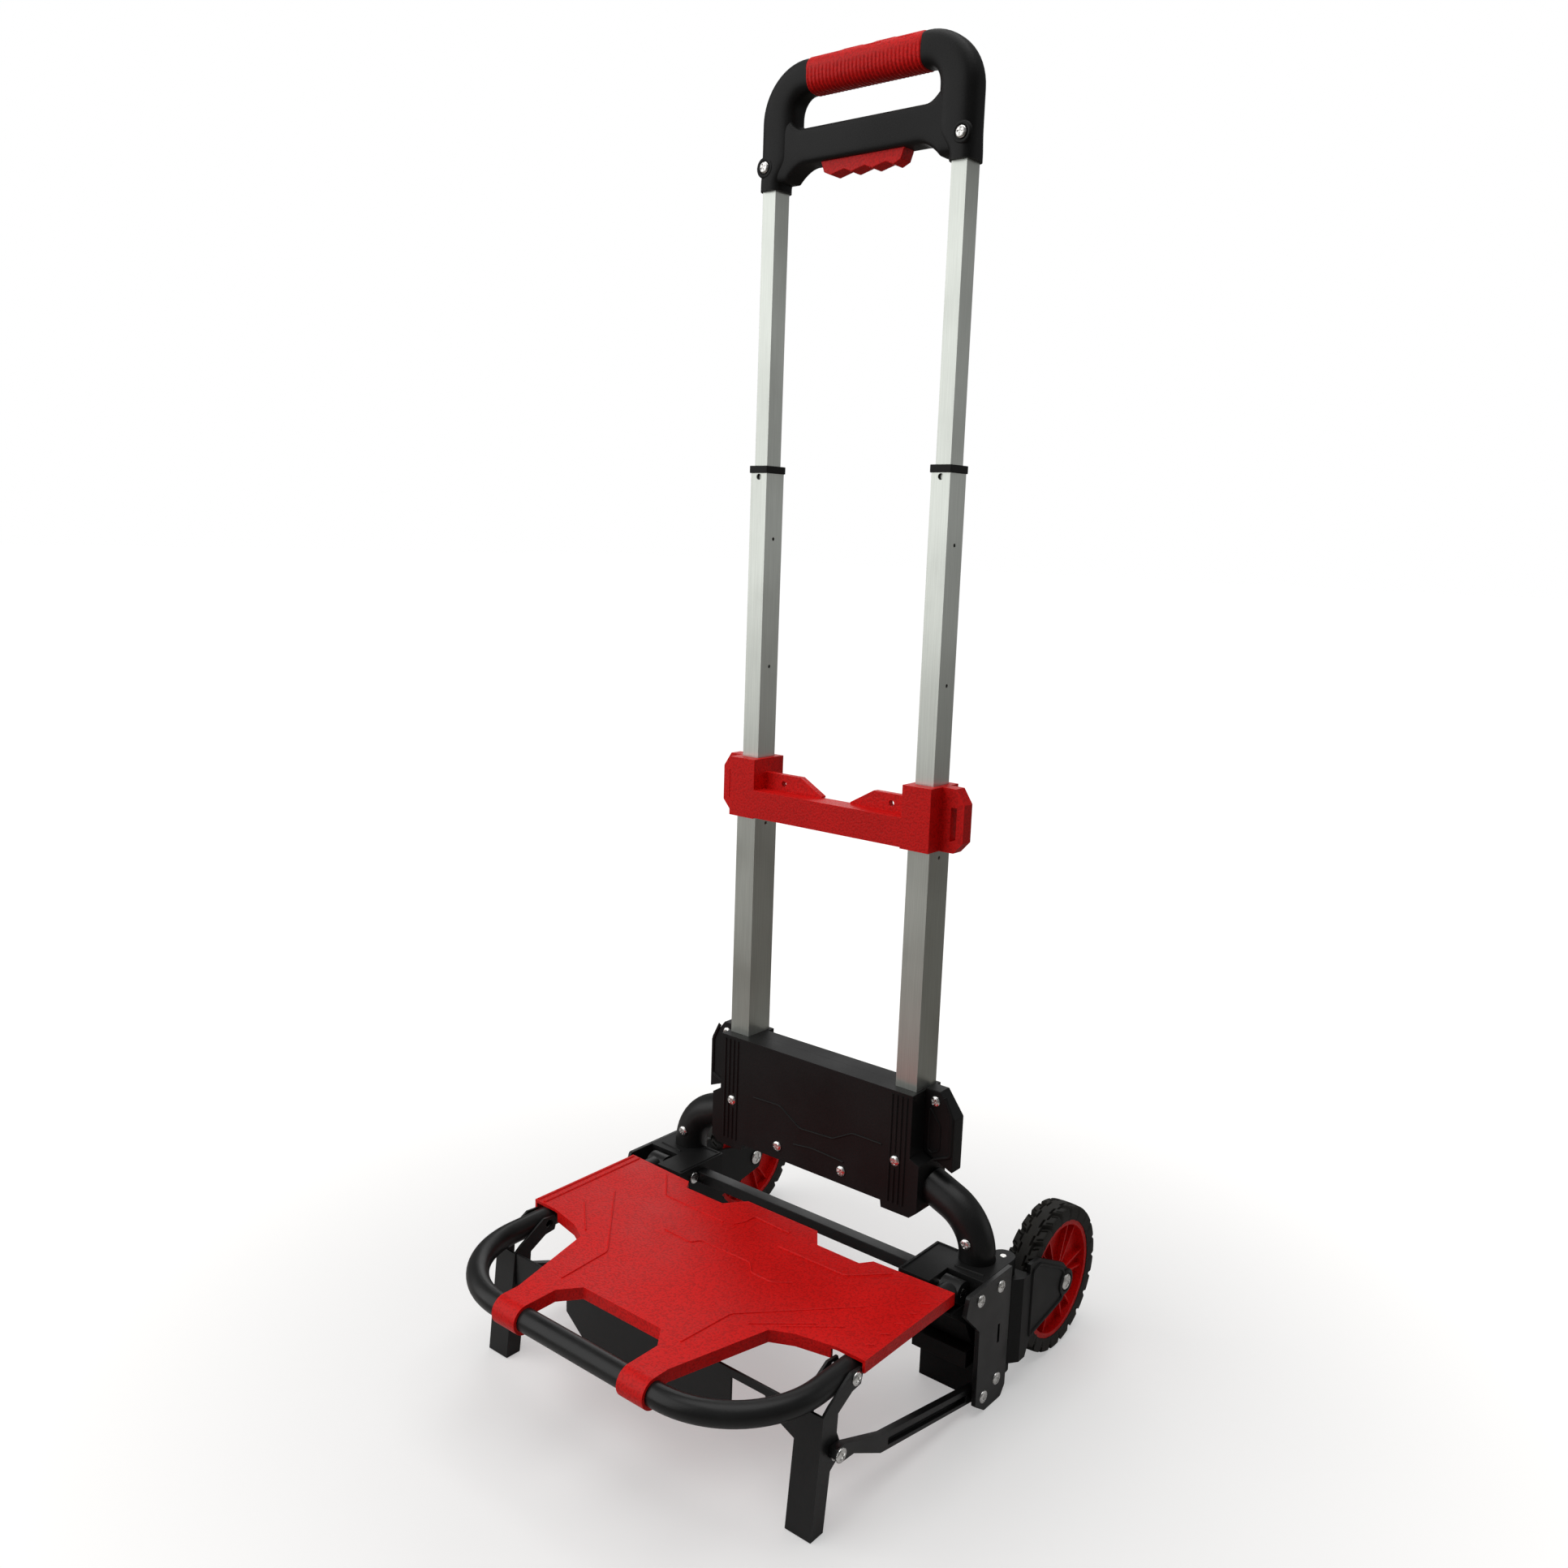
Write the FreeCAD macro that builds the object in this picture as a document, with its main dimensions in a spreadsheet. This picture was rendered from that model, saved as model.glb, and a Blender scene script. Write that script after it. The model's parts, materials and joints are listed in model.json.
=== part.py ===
"""Folding hand truck with a telescoping handle: a parametric FreeCAD document.

Frame: +X to the right as seen from the front, -Y to the front, +Z up, millimetres.
The origin lies on the floor, under the middle of the truck.
"""

import FreeCAD, Part
import math
import os
import Sketcher

SHEET = "Sizes"

# Driving dimensions: alias, value, meaning.
DRIVING = [
    ("tube_spacing", 180.0, "between the two columns of handle tubes, centre to centre"),
    ("tube_y", 73.8, "the tubes' centre plane"),
    ("inner_side_gap", 0.6, "beside the upper tube, inside the middle one"),
    ("inner_front_gap", 1.3, "ahead of the upper tube, inside the middle one"),
    ("inner_wall", 1.0, "upper tube wall"),
    ("middle_side_gap", 0.4, "beside the middle tube, inside the lower one"),
    ("middle_front_gap", 1.8, "ahead of the middle tube, inside the lower one"),
    ("middle_wall", 1.2, "middle tube wall"),
    ("lower_width", 20.6, "lower tube, across"),
    ("lower_depth", 29.0, "lower tube, front to back"),
    ("lower_wall", 1.4, "lower tube wall"),
    ("slide_gap", 0.15, "running gap of a guide in its tube"),
    ("lower_bottom", 152.0, "lower tube's bottom end"),
    ("lower_top", 490.0, "lower tube's top end"),
    ("middle_length", 347.7, "middle tube"),
    ("middle_overlap", 100.0, "middle tube left inside the lower one"),
    ("inner_overlap", 65.0, "upper tube left inside the middle one"),
    ("inner_length", 305.0, "upper tube"),
    ("collar_wall", 1.0, "collar round the middle tube's mouth"),
    ("collar_height", 3.0, "collar round the middle tube's mouth"),
    ("lock_pin_radius", 2.3, "spring pin that locks a tube stage"),
    ("lock_pin_gap", 0.2, "gap round and ahead of a spring pin"),
    ("lock_pin_drop", 6.0, "lock hole below the middle tube's mouth"),
    ("lock_rise", 70.0, "lower lock hole above the middle tube's foot"),
    ("middle_travel", 235.0, "slide of the middle stage"),
    ("upper_travel", 212.0, "slide of the upper stage"),
    ("side_hole", 1.5, "small rivet holes in the tubes' sides"),
    ("side_hole_gap", 108.0, "between the rivet holes of a middle tube"),
    ("handle_depth", 25.0, "handle moulding, front to back"),
    ("handle_half", 100.5, "half the handle's width"),
    ("handle_height", 95.0, "handle, socket mouth to top"),
    ("handle_corner", 44.0, "handle's outer corner radius"),
    ("socket_depth", 20.0, "upper tube held in the handle"),
    ("bar_bottom", 16.0, "handle's lower bar above the socket mouth"),
    ("bar_height", 27.0, "handle's lower bar"),
    ("grip_thickness", 26.0, "handle's top bar"),
    ("grip_half", 54.0, "half the grip's length"),
    ("grip_skin", 3.5, "grip cover"),
    ("opening_half", 68.0, "half the hand opening"),
    ("trigger_half", 39.6, "half the release trigger"),
    ("trigger_depth", 13.6, "trigger, front to back"),
    ("trigger_drop", 11.0, "trigger below the handle's bar"),
    ("rod_radius", 2.0, "release rod"),
    ("brace_bottom", 442.5, "brace sleeve's lower end"),
    ("brace_height", 51.5, "brace sleeve"),
    ("brace_wall", 3.2, "brace sleeve wall across"),
    ("brace_front", 52.0, "brace's front face"),
    ("brace_hole_half", 56.0, "half the spacing of the brace's two holes"),
    ("brace_hole_radius", 2.6, "the brace's two holes"),
    ("loop_reach", 21.0, "cord loop beyond the sleeve"),
    ("housing_bottom", 143.0, "housing's lower edge between the tubes"),
    ("housing_top", 242.0, "housing's top"),
    ("housing_front", 50.0, "housing's front face"),
    ("housing_rear", 91.5, "housing's rear face"),
    ("housing_half", 103.0, "half the housing's width"),
    ("housing_wall", 3.0, "housing shell wall"),
    ("foot_drop", 6.0, "tube feet below the housing's edge"),
    ("guard_reach", 29.0, "side guard beyond the housing"),
    ("arch_x", 158.0, "arch tube over the block"),
    ("arch_y", 73.0, "arch tubes' plane"),
    ("arch_radius", 15.0, "arch tube's outer radius"),
    ("arch_wall", 1.8, "arch tube wall"),
    ("arch_bend", 42.0, "arch tube's bend radius"),
    ("arch_turn", 68.0, "degrees of the arch tube's bend"),
    ("arch_run", 24.0, "arch tube's straight end"),
    ("arch_start", 10.0, "arch tube's upright foot"),
    ("block_inner", 119.0, "block's inner face"),
    ("block_front", 17.0, "block's front face"),
    ("block_rear", 74.5, "block's rear face"),
    ("block_top", 112.4, "block's top"),
    ("slab", 13.9, "block's top slab"),
    ("plate_x", 182.0, "side plate's inner face"),
    ("plate_thick", 4.0, "side plate"),
    ("plate_rear", 81.5, "side plate's rear edge"),
    ("hinge_y", 33.6, "platform hinge"),
    ("hinge_z", 102.8, "platform hinge"),
    ("hinge_pin", 4.0, "platform hinge pin's radius"),
    ("pin_gap", 0.05, "running clearance of a pin"),
    ("bar_radius", 9.0, "platform bar's outer radius"),
    ("bar_wall", 1.6, "platform bar's wall"),
    ("bar_side", 161.0, "platform bar's side arms"),
    ("bar_front", -219.5, "platform bar's front run"),
    ("bar_corner", 78.0, "platform bar's corner radius"),
    ("deck_half", 175.0, "half the deck's width"),
    ("deck_rear", 12.0, "deck's rear edge at the sides"),
    ("deck_wing", -106.0, "front edge of the deck's wings"),
    ("deck_skin", 2.6, "deck's top skin"),
    ("deck_rim", 10.0, "deck's rim depth"),
    ("deck_rim_wall", 2.4, "deck's rim thickness"),
    ("hook_inner", 54.0, "inner side of a front hook"),
    ("hook_outer", 79.0, "outer side of a front hook"),
    ("leg_pivot_y", -112.2, "leg pivot"),
    ("leg_pin", 3.5, "leg pivot pin's radius"),
    ("leg_wall", 2.2, "leg channel's cheek"),
    ("leg_gap", 0.3, "cheek beside the platform bar"),
    ("leg_foot_y", -158.7, "front of the foot on the floor"),
    ("leg_lean", 0.1, "front face's lean, y per z"),
    ("foot_depth", 14.3, "foot, front to back"),
    ("foot_height", 26.0, "foot insert"),
    ("foot_insert", 8.0, "foot insert's rear face behind the leg's front"),
    ("web_thick", 2.2, "leg frame's cross web"),
    ("link_pin_y", -136.0, "link's front rivet"),
    ("link_pin_z", 59.0, "link's front rivet"),
    ("link_bend_y", -85.0, "link's bend"),
    ("link_bend_z", 39.5, "link's bend"),
    ("link_rear_y", 46.5, "link's rear pivot"),
    ("link_rear_z", 14.0, "link's rear pivot"),
    ("link_half", 6.5, "half the link's width"),
    ("link_thick", 6.0, "link, across"),
    ("link_pin", 3.5, "link pivot pin's radius"),
    ("side_gap", 0.3, "gap between parts that swing past each other"),
    ("wheel_radius", 63.5, "tyre"),
    ("wheel_width", 25.0, "tyre"),
    ("wheel_x", 174.0, "wheel's middle plane"),
    ("wheel_y", 168.5, "axle"),
    ("rim_radius", 51.0, "rim's seat in the tyre"),
    ("rib_half", 8.0, "half the reach of a rim's rib along the axle"),
    ("rib_thick", 1.6, "rim's rib"),
    ("axle_radius", 5.0, "axle"),
    ("swivel_x", 172.0, "wheel bracket's upright hinge"),
    ("swivel_y", 91.0, "wheel bracket's upright hinge"),
    ("swivel_pin", 3.0, "upright hinge pin's radius"),
    ("knuckle", 11.0, "upright hinge knuckle's radius"),
    ("bracket_bottom", 24.0, "wheel bracket's lower end"),
    ("fork_thick", 3.5, "wheel bracket's plates"),
    ("fork_gap", 1.2, "between a fork plate and the tyre"),
    ("head_radius", 4.6, "screw head"),
    ("head_height", 2.2, "screw head"),
    ("screw_radius", 2.2, "screw shank"),
    ("screw_length", 9.0, "screw shank"),
    ("screw_bite", 0.5, "screw driven into a lower tube's wall"),
]

doc = FreeCAD.newDocument("hand_truck")


class Size:
    """A length together with the spreadsheet expression that it comes from."""

    def __init__(self, text, value):
        self.text = text
        self.value = value

    def __add__(self, other):
        return Size("(%s + %s)" % (self.text, size(other).text), self.value + size(other).value)

    def __sub__(self, other):
        return Size("(%s - %s)" % (self.text, size(other).text), self.value - size(other).value)

    def __mul__(self, other):
        return Size("(%s * %s)" % (self.text, size(other).text), self.value * size(other).value)

    def __truediv__(self, other):
        return Size("(%s / %s)" % (self.text, size(other).text), self.value / size(other).value)

    def __neg__(self):
        return Size("(0 - %s)" % self.text, -self.value)

    def __radd__(self, other):
        return size(other) + self

    def __rsub__(self, other):
        return size(other) - self

    def __rmul__(self, other):
        return size(other) * self


def size(value):
    """Take a plain number as a Size."""
    if isinstance(value, Size):
        return value
    return Size("%.6g" % value, float(value))


def sine(angle):
    return Size("sin(%s * 1deg)" % angle.text, math.sin(math.radians(angle.value)))


def cosine(angle):
    return Size("cos(%s * 1deg)" % angle.text, math.cos(math.radians(angle.value)))


class Dimensions:
    """The driving dimensions as attributes, one for each alias of the sheet."""


def fill_sheet():
    """Write the driving dimensions into the sheet and return them by name."""
    sheet = doc.addObject("Spreadsheet::Sheet", SHEET)
    named = Dimensions()
    for row, (alias, value, meaning) in enumerate(DRIVING, start=1):
        sheet.set("A%d" % row, meaning)
        sheet.set("B%d" % row, "%g" % value)
        sheet.setAlias("B%d" % row, alias)
        setattr(named, alias, Size("%s.%s" % (SHEET, alias), value))
    doc.recompute()
    return named


d = fill_sheet()
PARTS = []

ALONG_X = FreeCAD.Rotation(FreeCAD.Vector(0, 1, 0), 90)
ALONG_Y = FreeCAD.Rotation(FreeCAD.Vector(1, 0, 0), -90)
ALONG_Z = FreeCAD.Rotation()


# ---------------------------------------------------------------- helpers

def bind(thing, name, value):
    """Bind one property to the sheet."""
    thing.setExpression(name, size(value).text)


def place(thing, x, y, z, turn=ALONG_Z):
    """Put an object at a point that is bound to the sheet."""
    thing.Placement = FreeCAD.Placement(FreeCAD.Vector(), turn)
    bind(thing, "Placement.Base.x", x)
    bind(thing, "Placement.Base.y", y)
    bind(thing, "Placement.Base.z", z)
    return thing


def box(x, y, z):
    """Box between two values on each axis."""
    thing = doc.addObject("Part::Box", "Block")
    bind(thing, "Length", size(x[1]) - x[0])
    bind(thing, "Width", size(y[1]) - y[0])
    bind(thing, "Height", size(z[1]) - z[0])
    return place(thing, x[0], y[0], z[0])


def middle_box(centre, width, depth, z):
    """Box centred on a tube's axis."""
    half, deep = size(width) / 2, size(depth) / 2
    x = (centre[0] - half, centre[0] + half)
    return box(x, (centre[1] - deep, centre[1] + deep), z)


def rod(radius, start, length, turn=ALONG_Z):
    """Cylinder from a point along the direction that turn gives."""
    thing = doc.addObject("Part::Cylinder", "Rod")
    bind(thing, "Radius", radius)
    bind(thing, "Height", length)
    return place(thing, start[0], start[1], start[2], turn)


def elbow(bend, radius, sweep, centre, turn):
    """Part of a torus that joins two straight tubes."""
    thing = doc.addObject("Part::Torus", "Elbow")
    bind(thing, "Radius1", bend)
    bind(thing, "Radius2", radius)
    bind(thing, "Angle3", sweep)
    return place(thing, centre[0], centre[1], centre[2], turn)


def join(things):
    fused = doc.addObject("Part::MultiFuse", "Join")
    fused.Shapes = things
    return fused


def cut(base, tools):
    """Take one or more solids away from a base."""
    result = doc.addObject("Part::Cut", "Cut")
    result.Base = base
    result.Tool = tools[0] if len(tools) == 1 else join(tools)
    return result


def common(first, second):
    result = doc.addObject("Part::Common", "Common")
    result.Base = first
    result.Tool = second
    return result


def mirror(thing):
    """The same piece on the other side of the truck's middle plane."""
    result = doc.addObject("Part::Mirroring", "Mirror")
    result.Source = thing
    result.Normal = FreeCAD.Vector(1, 0, 0)
    return result


def group(things):
    """Separate identical solids as one sub-part."""
    result = doc.addObject("Part::Compound", "Group")
    result.Links = things
    return result


def keep(thing, label):
    """Name a finished sub-part."""
    thing.Label = label
    PARTS.append(thing)
    return thing


def pair(thing, name):
    """Keep a right-hand piece and its mirror image as two sub-parts."""
    keep(mirror(thing), name + "_left")
    keep(thing, name + "_right")


def both(things):
    """Keep right-hand solids and their mirror images in one list."""
    return things + [mirror(thing) for thing in things]


def new_body():
    return doc.addObject("PartDesign::Body", "Body")


def origin_plane(body, role):
    return [item for item in body.Origin.OriginFeatures if item.Role == role][0]


def sketch_on(body, role, level):
    """Empty sketch on one of the body's own origin planes, lifted by level."""
    sketch = body.newObject("Sketcher::SketchObject", "Outline")
    sketch.AttachmentSupport = [(origin_plane(body, role), "")]
    sketch.MapMode = "FlatFace"
    bind(sketch, "AttachmentOffset.Base.z", level)
    return sketch


def draw(sketch, points):
    """Closed outline whose corners are bound to the sheet."""
    count = len(points)
    corners = [FreeCAD.Vector(size(u).value, size(v).value, 0) for u, v in points]
    for index in range(count):
        sketch.addGeometry(Part.LineSegment(corners[index], corners[(index + 1) % count]), False)
    for index in range(count):
        joint = Sketcher.Constraint("Coincident", index, 2, (index + 1) % count, 1)
        sketch.addConstraint(joint)
    for index, corner in enumerate(points):
        for kind, value in zip(("DistanceX", "DistanceY"), corner):
            rule = Sketcher.Constraint(kind, -1, 1, index, 1, size(value).value)
            number = sketch.addConstraint(rule)
            sketch.setExpression("Constraints[%d]" % number, size(value).text)


def draw_circle(sketch, centre, radius):
    """Circle whose centre and radius are bound to the sheet."""
    middle = FreeCAD.Vector(size(centre[0]).value, size(centre[1]).value, 0)
    flat = FreeCAD.Vector(0, 0, 1)
    index = sketch.addGeometry(Part.Circle(middle, flat, size(radius).value), False)
    rules = [("DistanceX", centre[0]), ("DistanceY", centre[1])]
    for kind, value in rules:
        rule = Sketcher.Constraint(kind, -1, 1, index, 3, size(value).value)
        sketch.setExpression("Constraints[%d]" % sketch.addConstraint(rule), size(value).text)
    rule = Sketcher.Constraint("Radius", index, size(radius).value)
    sketch.setExpression("Constraints[%d]" % sketch.addConstraint(rule), size(radius).text)


def pad(body, role, points, start, thickness):
    """Plate with the given outline, from start to start + thickness along the plane's axis."""
    level = start if role != "XZ_Plane" else -(size(start) + thickness)
    sketch = sketch_on(body, role, level)
    draw(sketch, points)
    feature = body.newObject("PartDesign::Pad", "Plate")
    feature.Profile = sketch
    bind(feature, "Length", thickness)
    return feature


def pocket(body, role, points, start, depth, circle=None):
    """Cut an outline, or a circle, from start to start + depth along the plane's axis."""
    level = start if role != "XZ_Plane" else -(size(start) + depth)
    sketch = sketch_on(body, role, level)
    if circle:
        draw_circle(sketch, points, circle)
    else:
        draw(sketch, points)
    feature = body.newObject("PartDesign::Pocket", "Opening")
    feature.Profile = sketch
    feature.Reversed = True
    bind(feature, "Length", depth)
    return feature


def edges_at(shape, role, corners):
    """Names of the edges that run across a plate at the given outline corners."""
    across = {"XY_Plane": (0, 1), "XZ_Plane": (0, 2), "YZ_Plane": (1, 2)}[role]
    names = []
    for number, edge in enumerate(shape.Edges, start=1):
        ends = [vertex.Point for vertex in edge.Vertexes]
        if len(ends) < 2:
            continue
        for u, v in corners:
            near = [math.hypot(end[across[0]] - size(u).value, end[across[1]] - size(v).value)
                    for end in ends]
            if max(near) < 0.01:
                names.append("Edge%d" % number)
    return names


def round_corners(body, feature, role, corners, radius):
    """Fillet the plate's edges at the given outline corners."""
    doc.recompute()
    fillet = body.newObject("PartDesign::Fillet", "Round")
    fillet.Base = (feature, edges_at(feature.Shape, role, corners))
    bind(fillet, "Radius", radius)
    return fillet


def screw(x, y, z, length=None):
    """Screw that enters towards the rear, its head standing out to the front of y."""
    head = rod(d.head_radius, (x, y - d.head_height, z), d.head_height, ALONG_Y)
    shank = rod(d.screw_radius, (x, y, z), length or d.screw_length, ALONG_Y)
    return join([head, shank])


def rivet(start, y, z, radius, end):
    """Rivet along X from start to end, with its head outside end."""
    shank = rod(radius, (start, y, z), size(end) - start, ALONG_X)
    head = rod(d.head_radius + 0.6, (end, y, z), d.head_height, ALONG_X)
    return join([shank, head])


def tube_of(centre, width, depth, wall, z):
    """Rectangular tube round a vertical axis."""
    outer = middle_box(centre, width, depth, z)
    hollow = middle_box(centre, width - 2 * wall, depth - 2 * wall, (z[0] - 1, z[1] + 1))
    return cut(outer, [hollow])


# ---------------------------------------------------------------- shared places

TUBE = (d.tube_spacing / 2, d.tube_y)
MIDDLE_WIDTH = d.lower_width - 2 * (d.lower_wall + d.middle_side_gap)
MIDDLE_DEPTH = d.lower_depth - 2 * (d.lower_wall + d.middle_front_gap)
INNER_WIDTH = MIDDLE_WIDTH - 2 * (d.middle_wall + d.inner_side_gap)
INNER_DEPTH = MIDDLE_DEPTH - 2 * (d.middle_wall + d.inner_front_gap)
MIDDLE_BOTTOM = d.lower_top - d.middle_overlap
MIDDLE_TOP = MIDDLE_BOTTOM + d.middle_length
COLLAR_TOP = MIDDLE_TOP + d.collar_height
INNER_BOTTOM = MIDDLE_TOP - d.inner_overlap
INNER_TOP = INNER_BOTTOM + d.inner_length
SOCKET = INNER_TOP - d.socket_depth
HANDLE_TOP = SOCKET + d.handle_height
BAR_LOW = SOCKET + d.bar_bottom
BAR_HIGH = BAR_LOW + d.bar_height
GRIP_LOW = HANDLE_TOP - d.grip_thickness
HANDLE_FRONT = d.tube_y - d.handle_depth / 2
LOCK_Z = MIDDLE_TOP - d.lock_pin_drop
SIDE_HOLE_Z = MIDDLE_TOP - 57
LOWER_LOCK_Z = MIDDLE_BOTTOM + d.lock_rise
BRACE_TOP = d.brace_bottom + d.brace_height
BRACE_REAR = d.tube_y + d.lower_depth / 2 + d.brace_wall
SLEEVE_IN = TUBE[0] - d.lower_width / 2 - d.brace_wall
SLEEVE_OUT = TUBE[0] + d.lower_width / 2 + d.brace_wall
ARCH_LEVEL = d.block_top - 8.4
ARCH_BEND_Z = ARCH_LEVEL + d.arch_start
PLATE_OUT = d.plate_x + d.plate_thick
LINK_X = d.bar_side + d.bar_radius + d.leg_gap + d.leg_wall + d.side_gap
LEG_OUT = LINK_X - d.side_gap
LEG_IN = d.bar_side - d.bar_radius - d.leg_gap - d.leg_wall
DECK_LOW = d.hinge_z + d.bar_radius + 0.1
DECK_TOP = DECK_LOW + d.deck_skin
FORK_OUT = d.wheel_x + d.wheel_width / 2 + d.fork_gap
FORK_IN = d.wheel_x - d.wheel_width / 2 - d.fork_gap
BRACKET_TOP = d.block_top - 6.4
KNUCKLE_TOP = d.block_top - d.slab - d.side_gap
AXLE_Z = d.wheel_radius


def leg_front(z):
    """Front face of the leg at a height."""
    return d.leg_foot_y + size(z) * d.leg_lean


# ---------------------------------------------------------------- telescoping tubes

def lock_holes(depth, wall, levels, side=1):
    """Round holes for the spring pins, in the rear wall of a tube, or with side -1 in its front one."""
    radius = d.lock_pin_radius + d.lock_pin_gap
    start = d.tube_y + side * depth / 2 - (wall + 1 if side > 0 else 1)
    return [rod(radius, (TUBE[0], start, level), wall + 2, ALONG_Y) for level in levels]


def side_holes(width, levels):
    """Small holes through both side walls of a tube."""
    start = TUBE[0] - width / 2 - 1
    return [rod(d.side_hole, (start, d.tube_y, level), width + 2, ALONG_X) for level in levels]


def lower_tubes():
    """Lower tubes, fixed in the housing and tied by the brace."""
    tube = tube_of(TUBE, d.lower_width, d.lower_depth, d.lower_wall, (d.lower_bottom, d.lower_top))
    locks = lock_holes(d.lower_depth, d.lower_wall, (LOWER_LOCK_Z, LOWER_LOCK_Z - d.middle_travel))
    pair(cut(tube, locks + side_holes(d.lower_width, [d.brace_bottom - 7])), "lower_tube")
    plug_z = (d.lower_bottom - 3, d.lower_bottom)
    plug = middle_box(TUBE, d.lower_width, d.lower_depth, plug_z)
    keep(group(both([plug])), "lower_tube_plugs")


def middle_tubes():
    """Middle tubes with the lock holes, collars and foot guides."""
    tube = tube_of(TUBE, MIDDLE_WIDTH, MIDDLE_DEPTH, d.middle_wall, (MIDDLE_BOTTOM, MIDDLE_TOP))
    levels = (LOCK_Z, LOCK_Z - d.upper_travel, LOWER_LOCK_Z)
    holes = lock_holes(MIDDLE_DEPTH, d.middle_wall, levels)
    holes += lock_holes(MIDDLE_DEPTH, d.middle_wall, [LOCK_Z], -1)
    holes += side_holes(MIDDLE_WIDTH, [SIDE_HOLE_Z, SIDE_HOLE_Z - d.side_hole_gap])
    pair(cut(tube, holes), "middle_tube")
    width = MIDDLE_WIDTH + 2 * d.collar_wall
    depth = MIDDLE_DEPTH + 2 * d.collar_wall
    rim = middle_box(TUBE, width, depth, (MIDDLE_TOP - d.collar_height, COLLAR_TOP))
    below = middle_box(TUBE, MIDDLE_WIDTH, MIDDLE_DEPTH, (MIDDLE_TOP - d.collar_height, MIDDLE_TOP))
    mouth = middle_box(TUBE, INNER_WIDTH + 2 * d.slide_gap, INNER_DEPTH + 2 * d.slide_gap,
                       (MIDDLE_TOP - 1, COLLAR_TOP + 1))
    keep(group(both([cut(rim, [below, mouth])])), "middle_tube_collars")
    guide_width = d.lower_width - 2 * d.lower_wall - 2 * d.slide_gap
    guide_depth = d.lower_depth - 2 * d.lower_wall - 2 * d.slide_gap
    guide_z = (MIDDLE_BOTTOM, MIDDLE_BOTTOM + 28)
    guide = middle_box(TUBE, guide_width, guide_depth, guide_z)
    core = middle_box(TUBE, MIDDLE_WIDTH, MIDDLE_DEPTH, (guide_z[0] - 1, guide_z[1] + 1))
    keep(group(both([cut(guide, [core])])), "middle_tube_guides")


def upper_tubes():
    """Upper tubes, with guides at their feet."""
    tube = tube_of(TUBE, INNER_WIDTH, INNER_DEPTH, d.inner_wall, (INNER_BOTTOM, INNER_TOP))
    pair(cut(tube, lock_holes(INNER_DEPTH, d.inner_wall, [LOCK_Z])), "upper_tube")
    guide_width = MIDDLE_WIDTH - 2 * d.middle_wall - 2 * d.slide_gap
    guide_depth = MIDDLE_DEPTH - 2 * d.middle_wall - 2 * d.slide_gap
    guide_z = (INNER_BOTTOM, INNER_BOTTOM + 24)
    guide = middle_box(TUBE, guide_width, guide_depth, guide_z)
    core = middle_box(TUBE, INNER_WIDTH, INNER_DEPTH, (guide_z[0] - 1, guide_z[1] + 1))
    keep(group(both([cut(guide, [core])])), "upper_tube_guides")


def lock_pins():
    """Spring pins, drawn in behind the wall of the tube that they lock into."""
    middle_inside = d.tube_y + MIDDLE_DEPTH / 2 - d.middle_wall
    rules = [("upper_lock_pins", MIDDLE_DEPTH, d.middle_wall, LOCK_Z, d.tube_y + 3),
             ("middle_lock_pins", d.lower_depth, d.lower_wall, LOWER_LOCK_Z, middle_inside + 0.1)]
    for name, depth, wall, level, tail in rules:
        tip = d.tube_y + depth / 2 - wall - d.lock_pin_gap
        pin = rod(d.lock_pin_radius, (TUBE[0], tail, level), tip - tail, ALONG_Y)
        keep(group(both([pin])), name)


# ---------------------------------------------------------------- handle

def handle():
    """Two handle shells that meet on the tubes' plane, with the grip cover between the corners."""
    half, inner = d.handle_half, d.tube_spacing - d.handle_half
    corners = [(half, SOCKET), (half, HANDLE_TOP), (-half, HANDLE_TOP), (-half, SOCKET),
               (-inner, SOCKET), (-inner + 8, BAR_LOW), (inner - 8, BAR_LOW), (inner, SOCKET)]
    body = new_body()
    outline = pad(body, "XZ_Plane", corners, HANDLE_FRONT, d.handle_depth)
    round_corners(body, outline, "XZ_Plane", corners[1:3], d.handle_corner)
    wide, narrow = d.opening_half, d.opening_half - 16
    opening = [(wide, BAR_HIGH), (wide, GRIP_LOW - 12), (narrow, GRIP_LOW),
               (-narrow, GRIP_LOW), (-wide, GRIP_LOW - 12), (-wide, BAR_HIGH)]
    hand = pocket(body, "XZ_Plane", opening, HANDLE_FRONT - 1, d.handle_depth + 2)
    round_corners(body, hand, "XZ_Plane", opening, size(5))
    hollows = handle_hollows() + [grip_ring(d.slide_gap)]
    solid = cut(body, hollows)
    reach = (-half - 5, half + 5)
    high = (SOCKET - 5, HANDLE_TOP + 5)
    front = box(reach, (HANDLE_FRONT - 5, d.tube_y), high)
    rear = box(reach, (d.tube_y, HANDLE_FRONT + d.handle_depth + 5), high)
    keep(common(solid, front), "handle_front")
    keep(common(solid, rear), "handle_rear")
    keep(grip_ring(size(0)), "handle_grip")
    screws = [screw(TUBE[0] + 2.8, HANDLE_FRONT, SOCKET + 17.5)]
    keep(group(both(screws)), "handle_screws")


def handle_hollows():
    """Tube sockets and the space where the trigger bar moves."""
    sockets = [middle_box((side * TUBE[0], d.tube_y), INNER_WIDTH, INNER_DEPTH,
                          (SOCKET - 1, INNER_TOP)) for side in (1, -1)]
    bar = box((-TUBE[0] - 4, TUBE[0] + 4), (d.tube_y - 4, d.tube_y + 4), (INNER_TOP, BAR_HIGH - 4))
    slot_half = d.trigger_half + 0.6
    slot_deep = d.trigger_depth / 2 + 0.5
    slot = box((-slot_half, slot_half), (d.tube_y - slot_deep, d.tube_y + slot_deep),
               (BAR_LOW - 1, BAR_HIGH - 4))
    return sockets + [bar, slot]


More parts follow.
